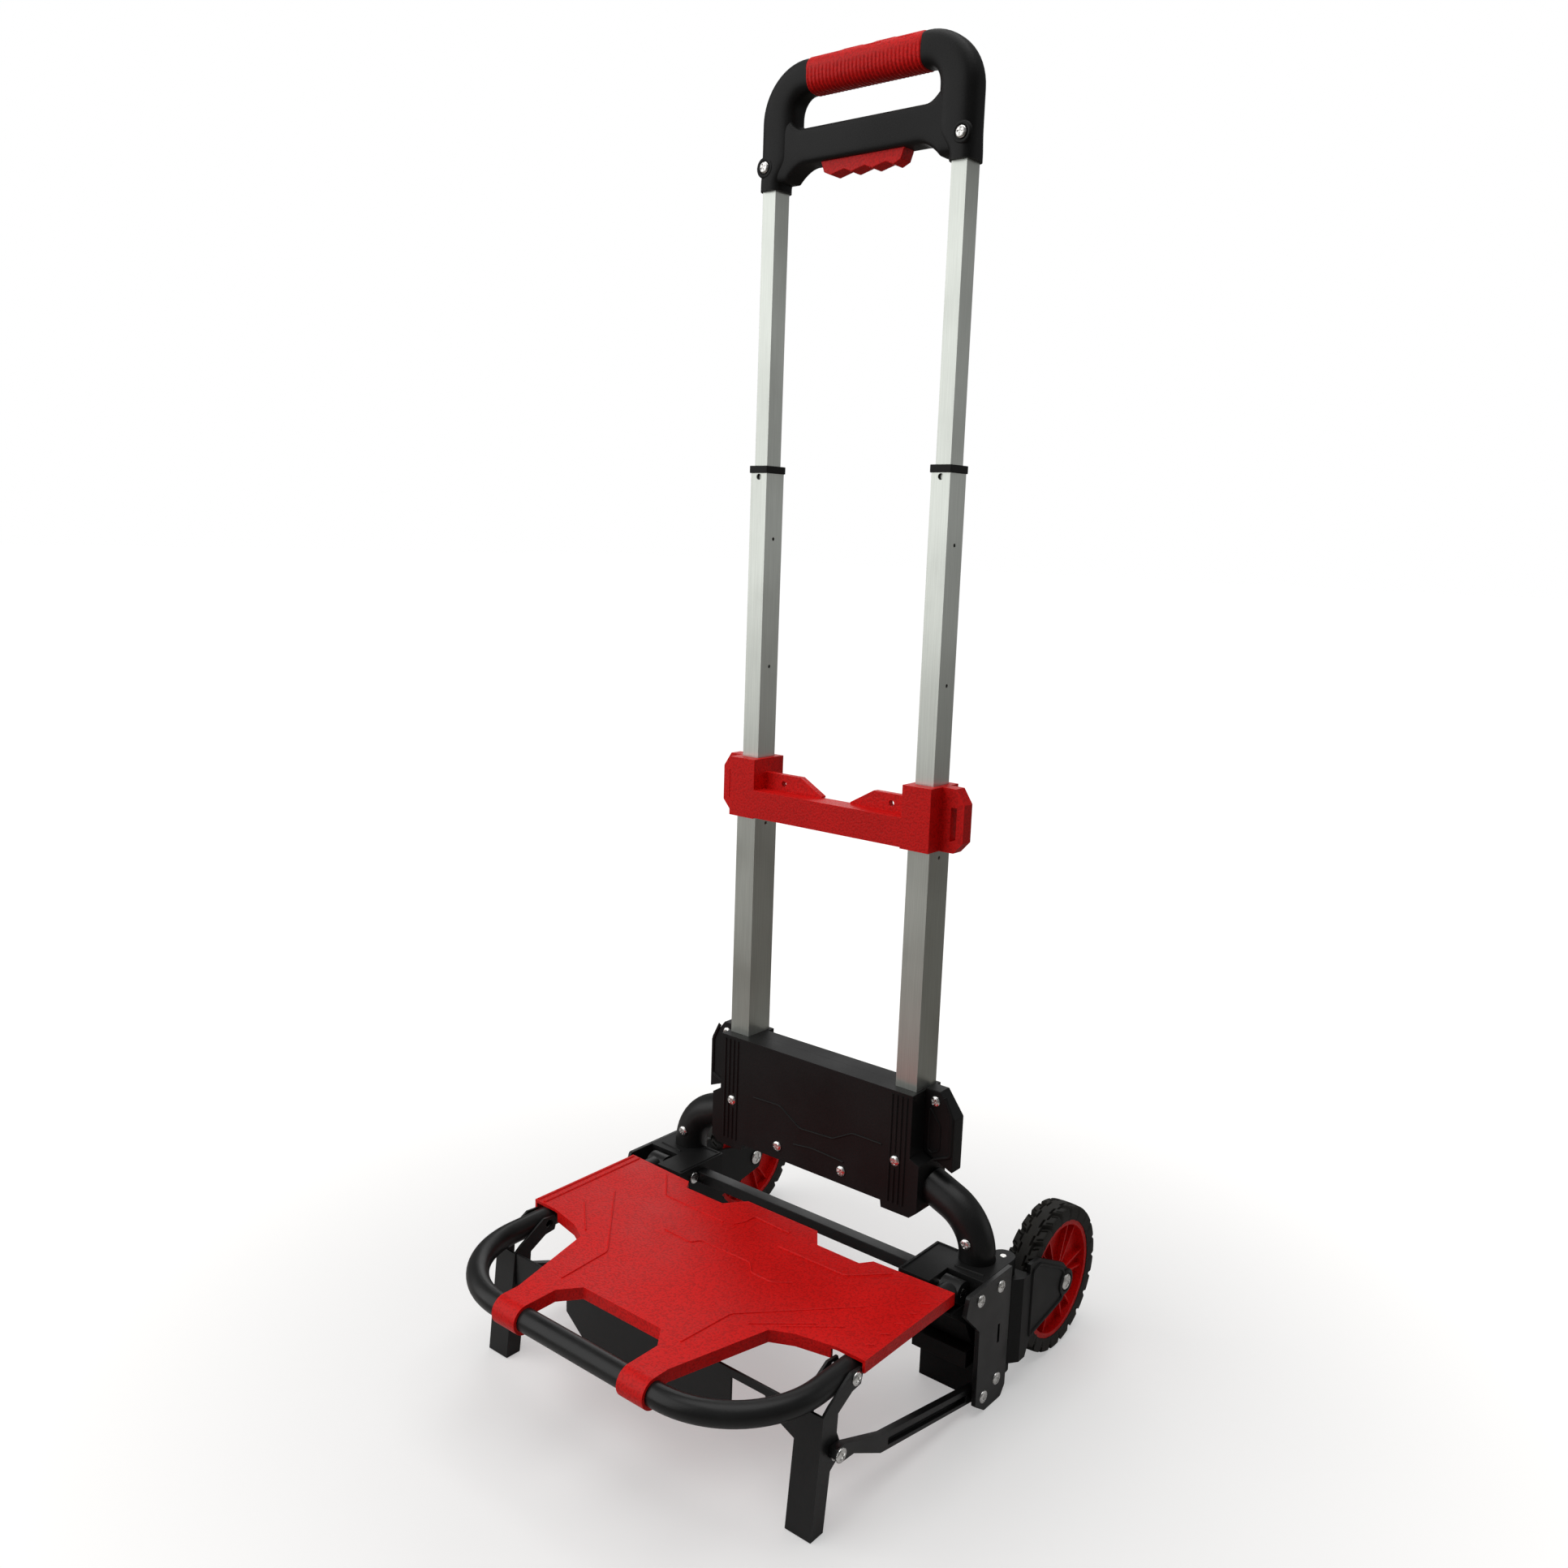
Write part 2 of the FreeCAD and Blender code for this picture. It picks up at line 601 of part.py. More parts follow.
def grip_ring(gap):
    """The grip cover, or the same with a gap at its ends, which is the seat that it lies in."""
    reach = (-d.grip_half - gap, d.grip_half + gap)
    margin = 0.6
    front, rear = HANDLE_FRONT - margin, HANDLE_FRONT + d.handle_depth + margin
    outer = box(reach, (front, rear), (GRIP_LOW - margin, HANDLE_TOP + margin))
    core = box((-d.grip_half - 1, d.grip_half + 1),
               (HANDLE_FRONT + d.grip_skin, rear - margin - d.grip_skin),
               (GRIP_LOW + d.grip_skin, HANDLE_TOP - d.grip_skin))
    return cut(outer, [core])


def trigger():
    """Release trigger under the handle's bar, and the rods that it lifts."""
    half, deep = d.trigger_half, d.trigger_depth / 2
    low = BAR_LOW - d.trigger_drop
    high = INNER_TOP + 8
    body = new_body()
    waves = 4
    step = 2 * half / waves
    points = [(half, BAR_LOW), (half, high), (-half, high), (-half, BAR_LOW)]
    for wave in range(waves):
        left = -half + step * wave
        points += [(left + step * 0.15, low + 3), (left + step * 0.5, low)]
    points += [(half - step * 0.15, low + 3)]
    pad(body, "XZ_Plane", points, d.tube_y - deep, d.trigger_depth)
    keep(body, "trigger")
    bar_z = (high, high + 3)
    bar = box((-TUBE[0] - 3, TUBE[0] + 3), (d.tube_y - 3, d.tube_y + 3), bar_z)
    rods = [rod(d.rod_radius, (side * TUBE[0], d.tube_y, LOCK_Z - 8), high - LOCK_Z + 9)
            for side in (1, -1)]
    keep(join([bar] + rods), "release_rods")


# ---------------------------------------------------------------- brace and housing

def brace():
    """Cross brace: a sleeve round each lower tube, the bar between them and the cord loops."""
    low, high = d.brace_bottom, BRACE_TOP
    sleeve = box((SLEEVE_IN, SLEEVE_OUT), (d.brace_front, BRACE_REAR), (low, high))
    bar = box((-SLEEVE_IN, SLEEVE_IN), (d.brace_front, d.brace_front + 20), (low + 1, low + 25))
    ear = [(SLEEVE_IN, low + 25), (SLEEVE_IN, high - 12), (38, high - 12), (15, high - 25), (15, low + 25)]
    ear_body = new_body()
    pad(ear_body, "XZ_Plane", ear, d.tube_y - 6, size(6))
    pocket(ear_body, "XZ_Plane", (d.brace_hole_half, low + 31.5), d.tube_y - 7, size(8),
           circle=d.brace_hole_radius)
    loop_out = SLEEVE_OUT + d.loop_reach
    outline = [(SLEEVE_OUT, low), (loop_out - 8, low), (loop_out, low + 9), (loop_out, high - 12),
               (loop_out - 8, high), (SLEEVE_OUT, high)]
    loop = new_body()
    pad(loop, "XZ_Plane", outline, d.tube_y - 6, size(12))
    slot = [(loop_out - 12, low + 9), (loop_out - 6.5, low + 11), (loop_out - 6.5, high - 15),
            (loop_out - 12, high - 15)]
    pocket(loop, "XZ_Plane", slot, d.tube_y - 7, size(14))
    solid = join(both([sleeve, ear_body, loop]) + [bar])
    bores = [middle_box((side * TUBE[0], d.tube_y), d.lower_width, d.lower_depth, (low - 1, d.lower_top))
             for side in (1, -1)]
    mouths = [middle_box((side * TUBE[0], d.tube_y), MIDDLE_WIDTH + 2 * d.slide_gap,
                         MIDDLE_DEPTH + 2 * d.slide_gap, (low, high + 1)) for side in (1, -1)]
    keep(cut(solid, bores + mouths), "brace")


def housing_outline():
    """Front view of the housing: feet under the tubes and sockets for the arch tubes."""
    half = d.housing_half
    socket = half + 9
    right = [(socket, d.housing_bottom), (socket, ARCH_BEND_Z + 70), (half, ARCH_BEND_Z + 74),
             (half, d.housing_top)]
    foot = [(76, d.housing_bottom), (77, d.housing_bottom - d.foot_drop),
            (half + 2, d.housing_bottom - d.foot_drop)]
    left = [(-u, v) for u, v in reversed(foot + right)]
    return foot + right + left


def housing():
    """Front and rear shells that clamp the lower tubes and the arch tubes."""
    split = d.tube_y - 6
    tubes = [middle_box((side * TUBE[0], d.tube_y), d.lower_width, d.lower_depth,
                        (d.lower_bottom - 3, d.housing_top + 1)) for side in (1, -1)]
    bores = both([arch_solid(d.arch_radius + 0.05)])
    wall = d.housing_wall
    room_in = TUBE[0] - d.lower_width / 2 - 4
    room = box((-room_in, room_in), (d.housing_front + wall, d.housing_rear - 8 - wall),
               (d.housing_bottom + wall, d.housing_top - wall))
    recess_half = TUBE[0] - d.lower_width / 2 - 3
    recess = box((-recess_half, recess_half), (d.housing_rear - 8, d.housing_rear + 1),
                 (d.housing_bottom - 10, d.housing_top + 1))
    spans = [("housing_front", d.housing_front, split), ("housing_rear", split, d.housing_rear)]
    for name, near, far in spans:
        body = new_body()
        pad(body, "XZ_Plane", housing_outline(), near, far - near)
        keep(cut(body, tubes + bores + [room, recess]), name)


def side_guards():
    """Guards that stand out beside the housing, over the arch tubes."""
    inner, outer = d.housing_half, d.housing_half + d.guard_reach
    low, high = ARCH_BEND_Z + 76, d.housing_top + 2
    outline = [(inner, low), (inner, high), (inner + 14, high), (outer, high - 20), (outer, low - 12),
               (inner + 12, low - 5)]
    body = new_body()
    pad(body, "XZ_Plane", outline, d.tube_y - 5, size(14))
    pair(cut(body, [arch_solid(d.arch_radius + 0.05)]), "side_guard")


def arch_solid(radius):
    """Upright foot, bend and straight end of an arch tube, as one solid bar of a radius."""
    x, y, z = d.arch_x, d.arch_y, ARCH_BEND_Z
    foot = rod(radius, (x, y, z - d.arch_start), d.arch_start)
    standing = FreeCAD.Rotation(FreeCAD.Vector(1, 0, 0), 90)
    bend = elbow(d.arch_bend, radius, d.arch_turn, (x - d.arch_bend, y, z), standing)
    end_x = x - d.arch_bend + d.arch_bend * cosine(d.arch_turn)
    end_z = z + d.arch_bend * sine(d.arch_turn)
    run = doc.addObject("Part::Cylinder", "Rod")
    bind(run, "Radius", radius)
    bind(run, "Height", d.arch_run)
    place(run, end_x, y, end_z)
    run.Placement.Rotation = FreeCAD.Rotation(FreeCAD.Vector(0, -1, 0), 1)
    run.setExpression("Placement.Rotation.Angle", d.arch_turn.text + " * 1deg")
    return join([foot, bend, run])


def arch_tubes():
    """Bent steel tubes from the housing down to the blocks."""
    tube = cut(arch_solid(d.arch_radius), [arch_solid(d.arch_radius - d.arch_wall)])
    pair(tube, "arch_tube")
    bolt = screw(d.arch_x - 2.8, d.arch_y - d.arch_radius, ARCH_BEND_Z + 15, size(5))
    keep(group(both([bolt])), "arch_bolts")


def housing_screws():
    """Screws in the housing's front and in the side guards."""
    front = d.housing_front
    reach = d.tube_y - d.lower_depth / 2 - front + d.screw_bite
    right = [screw(TUBE[0] - 1, front, d.housing_bottom + 38, reach),
             screw(size(35), front, d.housing_bottom + 12)]
    keep(group(both(right)), "housing_screws")
    guard = screw(d.housing_half + 10, d.tube_y - 5, d.housing_top - 7)
    keep(group(both([guard])), "guard_screws")


# ---------------------------------------------------------------- blocks on the floor

def blocks():
    """Moulded blocks that carry the arch tubes, the platform hinge and the wheel brackets."""
    top, under = d.block_top, d.block_top - d.slab
    front, rear, low = d.block_front, d.block_rear, size(0)
    outline = [(front, top), (front, 90), (front + 22, 74), (front + 30, 58), (front + 36, 50),
               (front + 40, 47), (front + 26, 47), (front + 26, 33), (front + 40, 33),
               (front + 40, low), (rear, low), (rear, top)]
    body = new_body()
    moulding_out = LEG_OUT - 2
    pad(body, "YZ_Plane", outline, d.block_inner, moulding_out - d.block_inner)
    slab = box((moulding_out, d.plate_x), (front, rear), (under, top))
    shelf = box((d.arch_x - 9, d.plate_x), (rear, d.swivel_y), (under, top))
    bottom_shelf = box((d.swivel_x - d.knuckle, d.swivel_x + 10), (rear, d.swivel_y),
                       (d.bracket_bottom - 12, d.bracket_bottom - d.side_gap))
    tie = box((moulding_out, d.plate_x), (rear - 9, rear), (low, under))
    knuckle = [rod(d.knuckle - 1, (d.swivel_x, d.swivel_y, under), d.slab),
               rod(d.knuckle - 1, (d.swivel_x, d.swivel_y, d.bracket_bottom - 12), 12 - d.side_gap)]
    solid = join([body, slab, shelf, bottom_shelf, tie] + knuckle)
    turn_room = d.bar_radius + 1.2
    notch = box((LEG_IN - 1, d.plate_x + 1), (front - 1, d.hinge_y + turn_room),
                (d.hinge_z - turn_room, top + 1))
    socket = rod(d.arch_radius, (d.arch_x, d.arch_y, ARCH_LEVEL), 20)
    hinge = rod(d.hinge_pin, (d.block_inner - 1, d.hinge_y, d.hinge_z), 80, ALONG_X)
    pivot = rod(d.link_pin, (moulding_out - 12, d.link_rear_y, d.link_rear_z), 40, ALONG_X)
    upright = rod(d.swivel_pin, (d.swivel_x, d.swivel_y, -5), 150)
    pair(cut(solid, [notch, socket, hinge, pivot, upright]), "hinge_block")


def side_plates():
    """Steel plates that close the blocks' outer sides."""
    top, rear = d.block_top, d.plate_rear
    front = d.block_front
    outline = [(front, top), (front - 4.5, 97.5), (front + 17.5, 76), (front + 18.5, 10), (front + 33, 0),
               (rear - 6, 0), (rear, 8), (rear, top)]
    body = new_body()
    plate = pad(body, "YZ_Plane", outline, d.plate_x, d.plate_thick)
    round_corners(body, plate, "YZ_Plane", outline[:3] + outline[4:6], size(3))
    slot = [(64, 52.6), (67, 52.6), (67, 68.8), (64, 68.8)]
    pocket(body, "YZ_Plane", slot, d.plate_x - 1, d.plate_thick + 2)
    pocket(body, "YZ_Plane", (d.link_rear_y, d.link_rear_z), d.plate_x - 1, d.plate_thick + 2,
           circle=d.link_pin)
    pair(body, "side_plate")
    shanks = [(d.hinge_y, d.hinge_z), (size(64.4), size(102.1)), (size(66.2), size(20.6))]
    rivets = [rivet(d.plate_x, y, z, d.screw_radius, PLATE_OUT) for y, z in shanks]
    keep(group(both(rivets)), "plate_rivets")


def block_pins():
    """Pins that the blocks hold: platform hinge, link pivots and upright wheel hinges."""
    head = rod(d.head_radius + 0.6, (d.block_inner - d.head_height, d.hinge_y, d.hinge_z),
               d.head_height, ALONG_X)
    shank = rod(d.hinge_pin, (d.block_inner, d.hinge_y, d.hinge_z),
                d.bar_side + d.bar_radius - d.block_inner, ALONG_X)
    keep(group(both([join([head, shank])])), "platform_hinge_pins")
    start = LEG_OUT - 12
    link_pin = rivet(start, d.link_rear_y, d.link_rear_z, d.link_pin, PLATE_OUT)
    keep(group(both([link_pin])), "link_pivot_pins")
    low = d.bracket_bottom - 12
    upright = rod(d.swivel_pin, (d.swivel_x, d.swivel_y, low), d.block_top - low)
    keep(group(both([upright])), "swivel_pins")


def crossbar():
    """Bar between the two blocks, behind the platform."""
    bar = box((-d.block_inner, d.block_inner), (39, 50), (97, 107))
    groove = box((-d.block_inner - 1, d.block_inner + 1), (40, 48), (96, 103))
    keep(cut(bar, [groove]), "crossbar")


# ---------------------------------------------------------------- platform

def platform_bar():
    """Bent bar under the deck: a front run, two corners and two arms back to the hinge."""
    solid = join(bar_pieces(d.bar_radius) + both([bar_boss()]))
    hollow = join(bar_pieces(d.bar_radius - d.bar_wall))
    bores = [rod(d.hinge_pin + d.pin_gap, (d.bar_side - 20, d.hinge_y, d.hinge_z), 40, ALONG_X)]
    seats = [rod(d.leg_pin, (d.bar_side - 20, d.leg_pivot_y, d.hinge_z), 40, ALONG_X)]
    tube = cut(solid, [hollow])
    keep(cut(tube, both(bores + seats)), "platform_bar")
    start = LEG_IN - 1
    pin = rod(d.leg_pin, (start, d.leg_pivot_y, d.hinge_z), LEG_OUT + 0.1 - start, ALONG_X)
    outer = rod(d.head_radius + 0.6, (LEG_OUT + 0.1, d.leg_pivot_y, d.hinge_z), d.head_height, ALONG_X)
    inner = rod(d.head_radius + 0.6, (start - d.head_height, d.leg_pivot_y, d.hinge_z),
                d.head_height, ALONG_X)
    keep(group(both([join([pin, outer, inner])])), "leg_pivot_pins")


def bar_boss():
    """Rounded eye at the rear end of an arm, a little larger than the bar."""
    half = d.bar_radius - 0.1
    return rod(d.bar_radius + 0.6, (d.bar_side - half, d.hinge_y, d.hinge_z), 2 * half, ALONG_X)


def bar_pieces(radius):
    """Straight runs and corners of the platform bar at one radius."""
    corner_y = d.bar_front + d.bar_corner
    run_half = d.bar_side - d.bar_corner
    eye = d.hinge_y - d.bar_radius + 2
    front = rod(radius, (-run_half, d.bar_front, d.hinge_z), 2 * run_half, ALONG_X)
    arm = rod(radius, (d.bar_side, corner_y, d.hinge_z), eye - corner_y, ALONG_Y)
    turn = FreeCAD.Rotation(FreeCAD.Vector(0, 0, 1), -90)
    corner = elbow(d.bar_corner, radius, size(90), (run_half, corner_y, d.hinge_z), turn)
    return both([arm, corner]) + [front]


def deck_outline():
    """Plan of the deck: wings over the arms, two front hooks and a raised rear tongue."""
    right = [(38, d.deck_rear + 4), (52, d.deck_rear - 14), (94, d.deck_rear - 14), (101, d.deck_rear - 4),
             (d.deck_half, d.deck_rear), (d.deck_half, d.deck_wing), (150, d.deck_wing),
             (118, d.deck_wing - 7), (100, d.deck_wing - 16), (d.hook_outer, d.bar_front + 14),
             (d.hook_outer, d.bar_front), (d.hook_inner, d.bar_front), (d.hook_inner, d.bar_front + 29),
             (d.hook_inner - 13, d.bar_front + 46)]
    left = [(-size(u), v) for u, v in reversed(right)]
    return right + left


def deck():
    """Moulded deck: a skin with a rim, and hooks that wrap the front run of the bar."""
    skin = new_body()
    pad(skin, "XY_Plane", deck_outline(), DECK_TOP - d.deck_rim, d.deck_rim)
    outline = doc.addObject("Sketcher::SketchObject", "DeckOutline")
    draw(outline, deck_outline())
    inner = doc.addObject("Part::Offset2D", "DeckInner")
    inner.Source = outline
    bind(inner, "Value", -d.deck_rim_wall)
    hollow = doc.addObject("Part::Extrusion", "DeckHollow")
    hollow.Base = inner
    hollow.Dir = FreeCAD.Vector(0, 0, 1)
    hollow.DirMode = "Custom"
    hollow.Solid = True
    bind(hollow, "LengthFwd", DECK_LOW)
    ring = rod(d.bar_radius + d.leg_gap + d.deck_rim_wall, (d.hook_inner, d.bar_front, d.hinge_z),
               d.hook_outer - d.hook_inner, ALONG_X)
    rest = box((d.hook_inner - 1, d.hook_outer + 1), (d.bar_front, d.bar_front + 20),
               (d.hinge_z - 20, d.hinge_z + 9))
    hook = cut(ring, [rest])
    solid = join([cut(skin, [hollow])] + both([hook]))
    keep(cut(solid, bar_pieces(d.bar_radius + 0.1) + both(leg_room())), "deck")
    seat = d.bar_side
    screws = [rod(d.screw_radius, (seat, y, DECK_LOW - 5), 5) for y in (-20, -80)]
    keep(group(both(screws)), "deck_screws")


def leg_room():
    """Room in the deck's rim for the eyes of the legs and for the arms' rear ends."""
    reach = (LEG_IN - 4, LEG_OUT + d.side_gap)
    low = DECK_TOP - d.deck_rim - 1
    front = box(reach, (d.deck_wing - 9, d.deck_wing + 12), (low, DECK_LOW))
    rear = box(reach, (d.deck_rear - 8, d.deck_rear + 6), (low, DECK_LOW))
    return [front, rear]


# ---------------------------------------------------------------- legs and links

def legs():
    """Leg frame: two channel legs round the platform bar, their feet and the web between them."""
    top = d.hinge_z
    y, boss = d.leg_pivot_y, size(8)
    lug_y = d.link_pin_y
    web_high = d.hinge_z - d.bar_radius - 1
    outline = [(leg_front(0), 0), (leg_front(0) + d.foot_depth, 0), (leg_front(45) + 15, 45),
               (lug_y + 6, 51), (lug_y + 7.5, 62), (lug_y + 3, 72), (y - 20, 86), (y - 4, top - 8),
               (y + 6, top - 7), (y + 8, top), (y + 6, top + 6), (y - 6, top + 7),
               (leg_front(95) + 6, web_high + 3), (leg_front(90), web_high - 2)]
    cheeks = []
    for start in (LEG_IN, LEG_OUT - d.leg_wall):
        body = new_body()
        pad(body, "YZ_Plane", outline, start, d.leg_wall)
        pocket(body, "YZ_Plane", (y, top), start - 1, d.leg_wall + 2, circle=d.leg_pin + d.pin_gap)
        cheeks.append(body)
    face = new_body()
    front = [(leg_front(0), 0), (leg_front(0) + d.web_thick, 0),
             (leg_front(90) + d.web_thick, web_high - 2), (leg_front(90), web_high - 2)]
    pad(face, "YZ_Plane", front, LEG_IN, LEG_OUT - LEG_IN)
    pair(join(cheeks + [face]), "leg")
    foot = box((LEG_IN + d.leg_wall, LEG_OUT - d.leg_wall),
               (leg_front(0) + d.web_thick + d.leg_lean * d.foot_height, leg_front(0) + d.foot_insert),
               (0, d.foot_height))
    keep(group(both([foot])), "leg_feet")
    keep(leg_web(), "leg_web")


def leg_web():
    """Sheet web between the legs: a middle panel with a notch on each side."""
    low, high = size(46), d.hinge_z - d.bar_radius - 3
    right = [(LEG_IN, high), (LEG_IN, 62), (LEG_IN - 22, 72), (LEG_IN - 30, high - 7),
             (88, high - 7), (88, 64), (66, low)]
    left = [(-size(u), v) for u, v in reversed(right)]
    body = new_body()
    pad(body, "XZ_Plane", right + left, leg_front(90) + 1, d.web_thick)
    return body


def links():
    """Bent links from the legs to the blocks, and the rivets at their front ends."""
    half = d.link_half
    q, b, r = ((d.link_pin_y, d.link_pin_z), (d.link_bend_y, d.link_bend_z),
               (d.link_rear_y, d.link_rear_z))
    outline = [(q[0] - 5, q[1] + half), (q[0] + 4, q[1] + half), (b[0] + 1, b[1] + half + 1),
               (r[0], r[1] + half), (r[0] + half, r[1]), (r[0], r[1] - half), (b[0] - 1, b[1] - half),
               (q[0] + 16, q[1] - half - 1), (q[0], q[1] - half), (q[0] - half, q[1])]
    body = new_body()
    pad(body, "YZ_Plane", outline, LINK_X, d.link_thick)
    groove = [(b[0] + 8, b[1] + 1), (r[0] - 14, r[1] + 4.8), (r[0] - 14, r[1] - 1), (b[0] + 8, b[1] - 4.8)]
    pocket(body, "YZ_Plane", groove, LINK_X + 2, d.link_thick)
    pocket(body, "YZ_Plane", r, LINK_X - 1, d.link_thick + 2, circle=d.link_pin + d.pin_gap)
    pocket(body, "YZ_Plane", q, LINK_X - 1, d.link_thick + 2, circle=d.screw_radius)
    pair(body, "link")
    shank = rod(d.screw_radius, (LINK_X, q[0], q[1]), d.link_thick, ALONG_X)
    head = rod(d.head_radius + 1, (LINK_X + d.link_thick, q[0], q[1]), d.head_height, ALONG_X)
    pair(join([shank, head]), "link_rivet")


# ---------------------------------------------------------------- wheels

def wheel_brackets():
    """Forks that swing on upright pins and carry the wheels."""
    x, y, radius = d.swivel_x, d.swivel_y, d.knuckle
    low, high = d.bracket_bottom, KNUCKLE_TOP
    column = rod(radius, (x, y, low), high - low)
    outer = [(x + 4, y - radius + 0.6), (x + radius + 2, y - radius + 4), (FORK_OUT + d.fork_thick, y + 2),
             (FORK_OUT + d.fork_thick, y + radius + 1), (FORK_OUT, y + radius + 1), (x, y + radius - 0.4)]
    arm = new_body()
    pad(arm, "XY_Plane", outer, low, high - low)
    inner = [(x, y - radius + 4), (x, y + radius - 0.4), (FORK_IN, y + radius + 1),
             (FORK_IN - d.fork_thick, y + radius + 1), (FORK_IN - d.fork_thick, y + 2), (x - 9, y - 6)]
    inner_arm = new_body()
    pad(inner_arm, "XY_Plane", inner, size(38), size(50))
    plates = []
    for start in (FORK_OUT, FORK_IN - d.fork_thick):
        plate = new_body()
        flank = bracket_outline() if start is FORK_OUT else inner_outline()
        pad(plate, "YZ_Plane", flank, start, d.fork_thick)
        plates.append(plate)
    solid = join([column, arm, inner_arm] + plates)
    pin = rod(d.swivel_pin + d.pin_gap, (x, y, low - 1), high - low + 2)
    axle = rod(d.axle_radius, (FORK_IN - 10, d.wheel_y, AXLE_Z), 60, ALONG_X)
    pair(cut(solid, [pin, axle]), "wheel_bracket")


def bracket_outline():
    """Side view of the outer fork plate: five corners, with its nose round the axle."""
    y, z, base = d.wheel_y, AXLE_Z, d.swivel_y
    return [(base + 12, KNUCKLE_TOP), (base + 12, BRACKET_TOP), (base + 27, BRACKET_TOP), (y - 6, z + 20),
            (y + 13, z), (y - 4, z - 16), (base + 19, z - 25), (base + 12, z - 39)]


def inner_outline():
    """Side view of the inner fork plate, a little smaller than the outer one."""
    y, z, base = d.wheel_y, AXLE_Z, d.swivel_y
    return [(base + 2, 38), (base + 2, 88), (base + 30, 88), (y + 6, z + 12), (y + 11, z), (y + 6, z - 12),
            (base + 24, 40)]


def wheels():
    """Tyre, spoked rim and axle."""
    x, half = d.wheel_x, d.wheel_width / 2
    centre = (x - half, d.wheel_y, AXLE_Z)
    tyre = cut(rod(d.wheel_radius, centre, d.wheel_width, ALONG_X),
               [rod(d.rim_radius, (x - half - 1, d.wheel_y, AXLE_Z), d.wheel_width + 2, ALONG_X)])
    pair(tyre, "tyre")
    rim_half = half - 1.5
    face = x - rim_half
    ring = cut(rod(d.rim_radius, (face, d.wheel_y, AXLE_Z), 2 * rim_half, ALONG_X),
               [rod(d.rim_radius - 4, (face - 1, d.wheel_y, AXLE_Z), 2 * rim_half + 2, ALONG_X)])
    disc = rod(d.rim_radius - 3, (x - 3, d.wheel_y, AXLE_Z), 6, ALONG_X)
    hub = rod(13, (face, d.wheel_y, AXLE_Z), 2 * rim_half, ALONG_X)
    ribs = [rim_rib(60 * number + lean) for number in range(6) for lean in (-9, 9)]
    bore = rod(d.axle_radius + d.pin_gap, (face - 1, d.wheel_y, AXLE_Z), 2 * rim_half + 2, ALONG_X)
    pair(cut(join([ring, disc, hub] + ribs), [bore]), "rim")
    inner, outer = FORK_IN - d.fork_thick, FORK_OUT + d.fork_thick
    shank = rod(d.axle_radius, (inner, d.wheel_y, AXLE_Z), outer - inner, ALONG_X)
    heads = [rod(7, (start, d.wheel_y, AXLE_Z), 2.8, ALONG_X) for start in (inner - 2.8, outer)]
    pair(join([shank] + heads), "axle")


def rim_rib(angle):
    """Thin radial rib from the hub to the rim's ring, standing out on both sides of the disc."""
    start, end = size(11), d.rim_radius - 3
    rib = doc.addObject("Part::Box", "Rib")
    bind(rib, "Length", 2 * d.rib_half)
    bind(rib, "Width", end - start)
    bind(rib, "Height", d.rib_thick)
    turn = math.radians(angle)
    along, square = (math.cos(turn), math.sin(turn)), (-math.sin(turn), math.cos(turn))
    place(rib, d.wheel_x - d.rib_half,
          d.wheel_y + start * along[0] - d.rib_thick / 2 * square[0],
          AXLE_Z + start * along[1] - d.rib_thick / 2 * square[1])
    rib.Placement.Rotation = FreeCAD.Rotation(FreeCAD.Vector(1, 0, 0), angle)
    return rib


# ---------------------------------------------------------------- build, check, write

def check_document():
    """Stop if any object failed or any sub-part has no valid solid."""
    doc.recompute()
    failed = [item.Name for item in doc.Objects if "Invalid" in item.State or "Error" in item.State]
    if failed:
        raise RuntimeError("failed objects: %s" % failed)
    for part in PARTS:
        shape = part.Shape
        if shape.isNull() or not shape.isValid() or not shape.Solids:
            raise RuntimeError("no valid solid: %s" % part.Label)


def write_parts():
    """Write one STEP file for each sub-part."""
    os.makedirs("parts", exist_ok=True)
    for part in PARTS:
        part.Shape.exportStep("parts/%s.step" % part.Label)
        box_of = part.Shape.BoundBox
        print("%-22s solids %2d volume %9.0f  z %7.1f to %7.1f" % (
            part.Label, len(part.Shape.Solids), part.Shape.Volume, box_of.ZMin, box_of.ZMax))


def build():
    lower_tubes()
    middle_tubes()
    upper_tubes()
    lock_pins()
    handle()
    trigger()
    brace()
    housing()
    side_guards()
    arch_tubes()
    housing_screws()
    blocks()
    side_plates()
    block_pins()
    crossbar()
    platform_bar()
    deck()
    legs()
    links()
    wheel_brackets()
    wheels()
    check_document()
    write_parts()


build()
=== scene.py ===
"""Folding hand truck: the finishes and the fine detail built round its fixed frame."""

import json
import math
import bmesh
import bpy
import numpy as np
from mathutils import Matrix, Vector

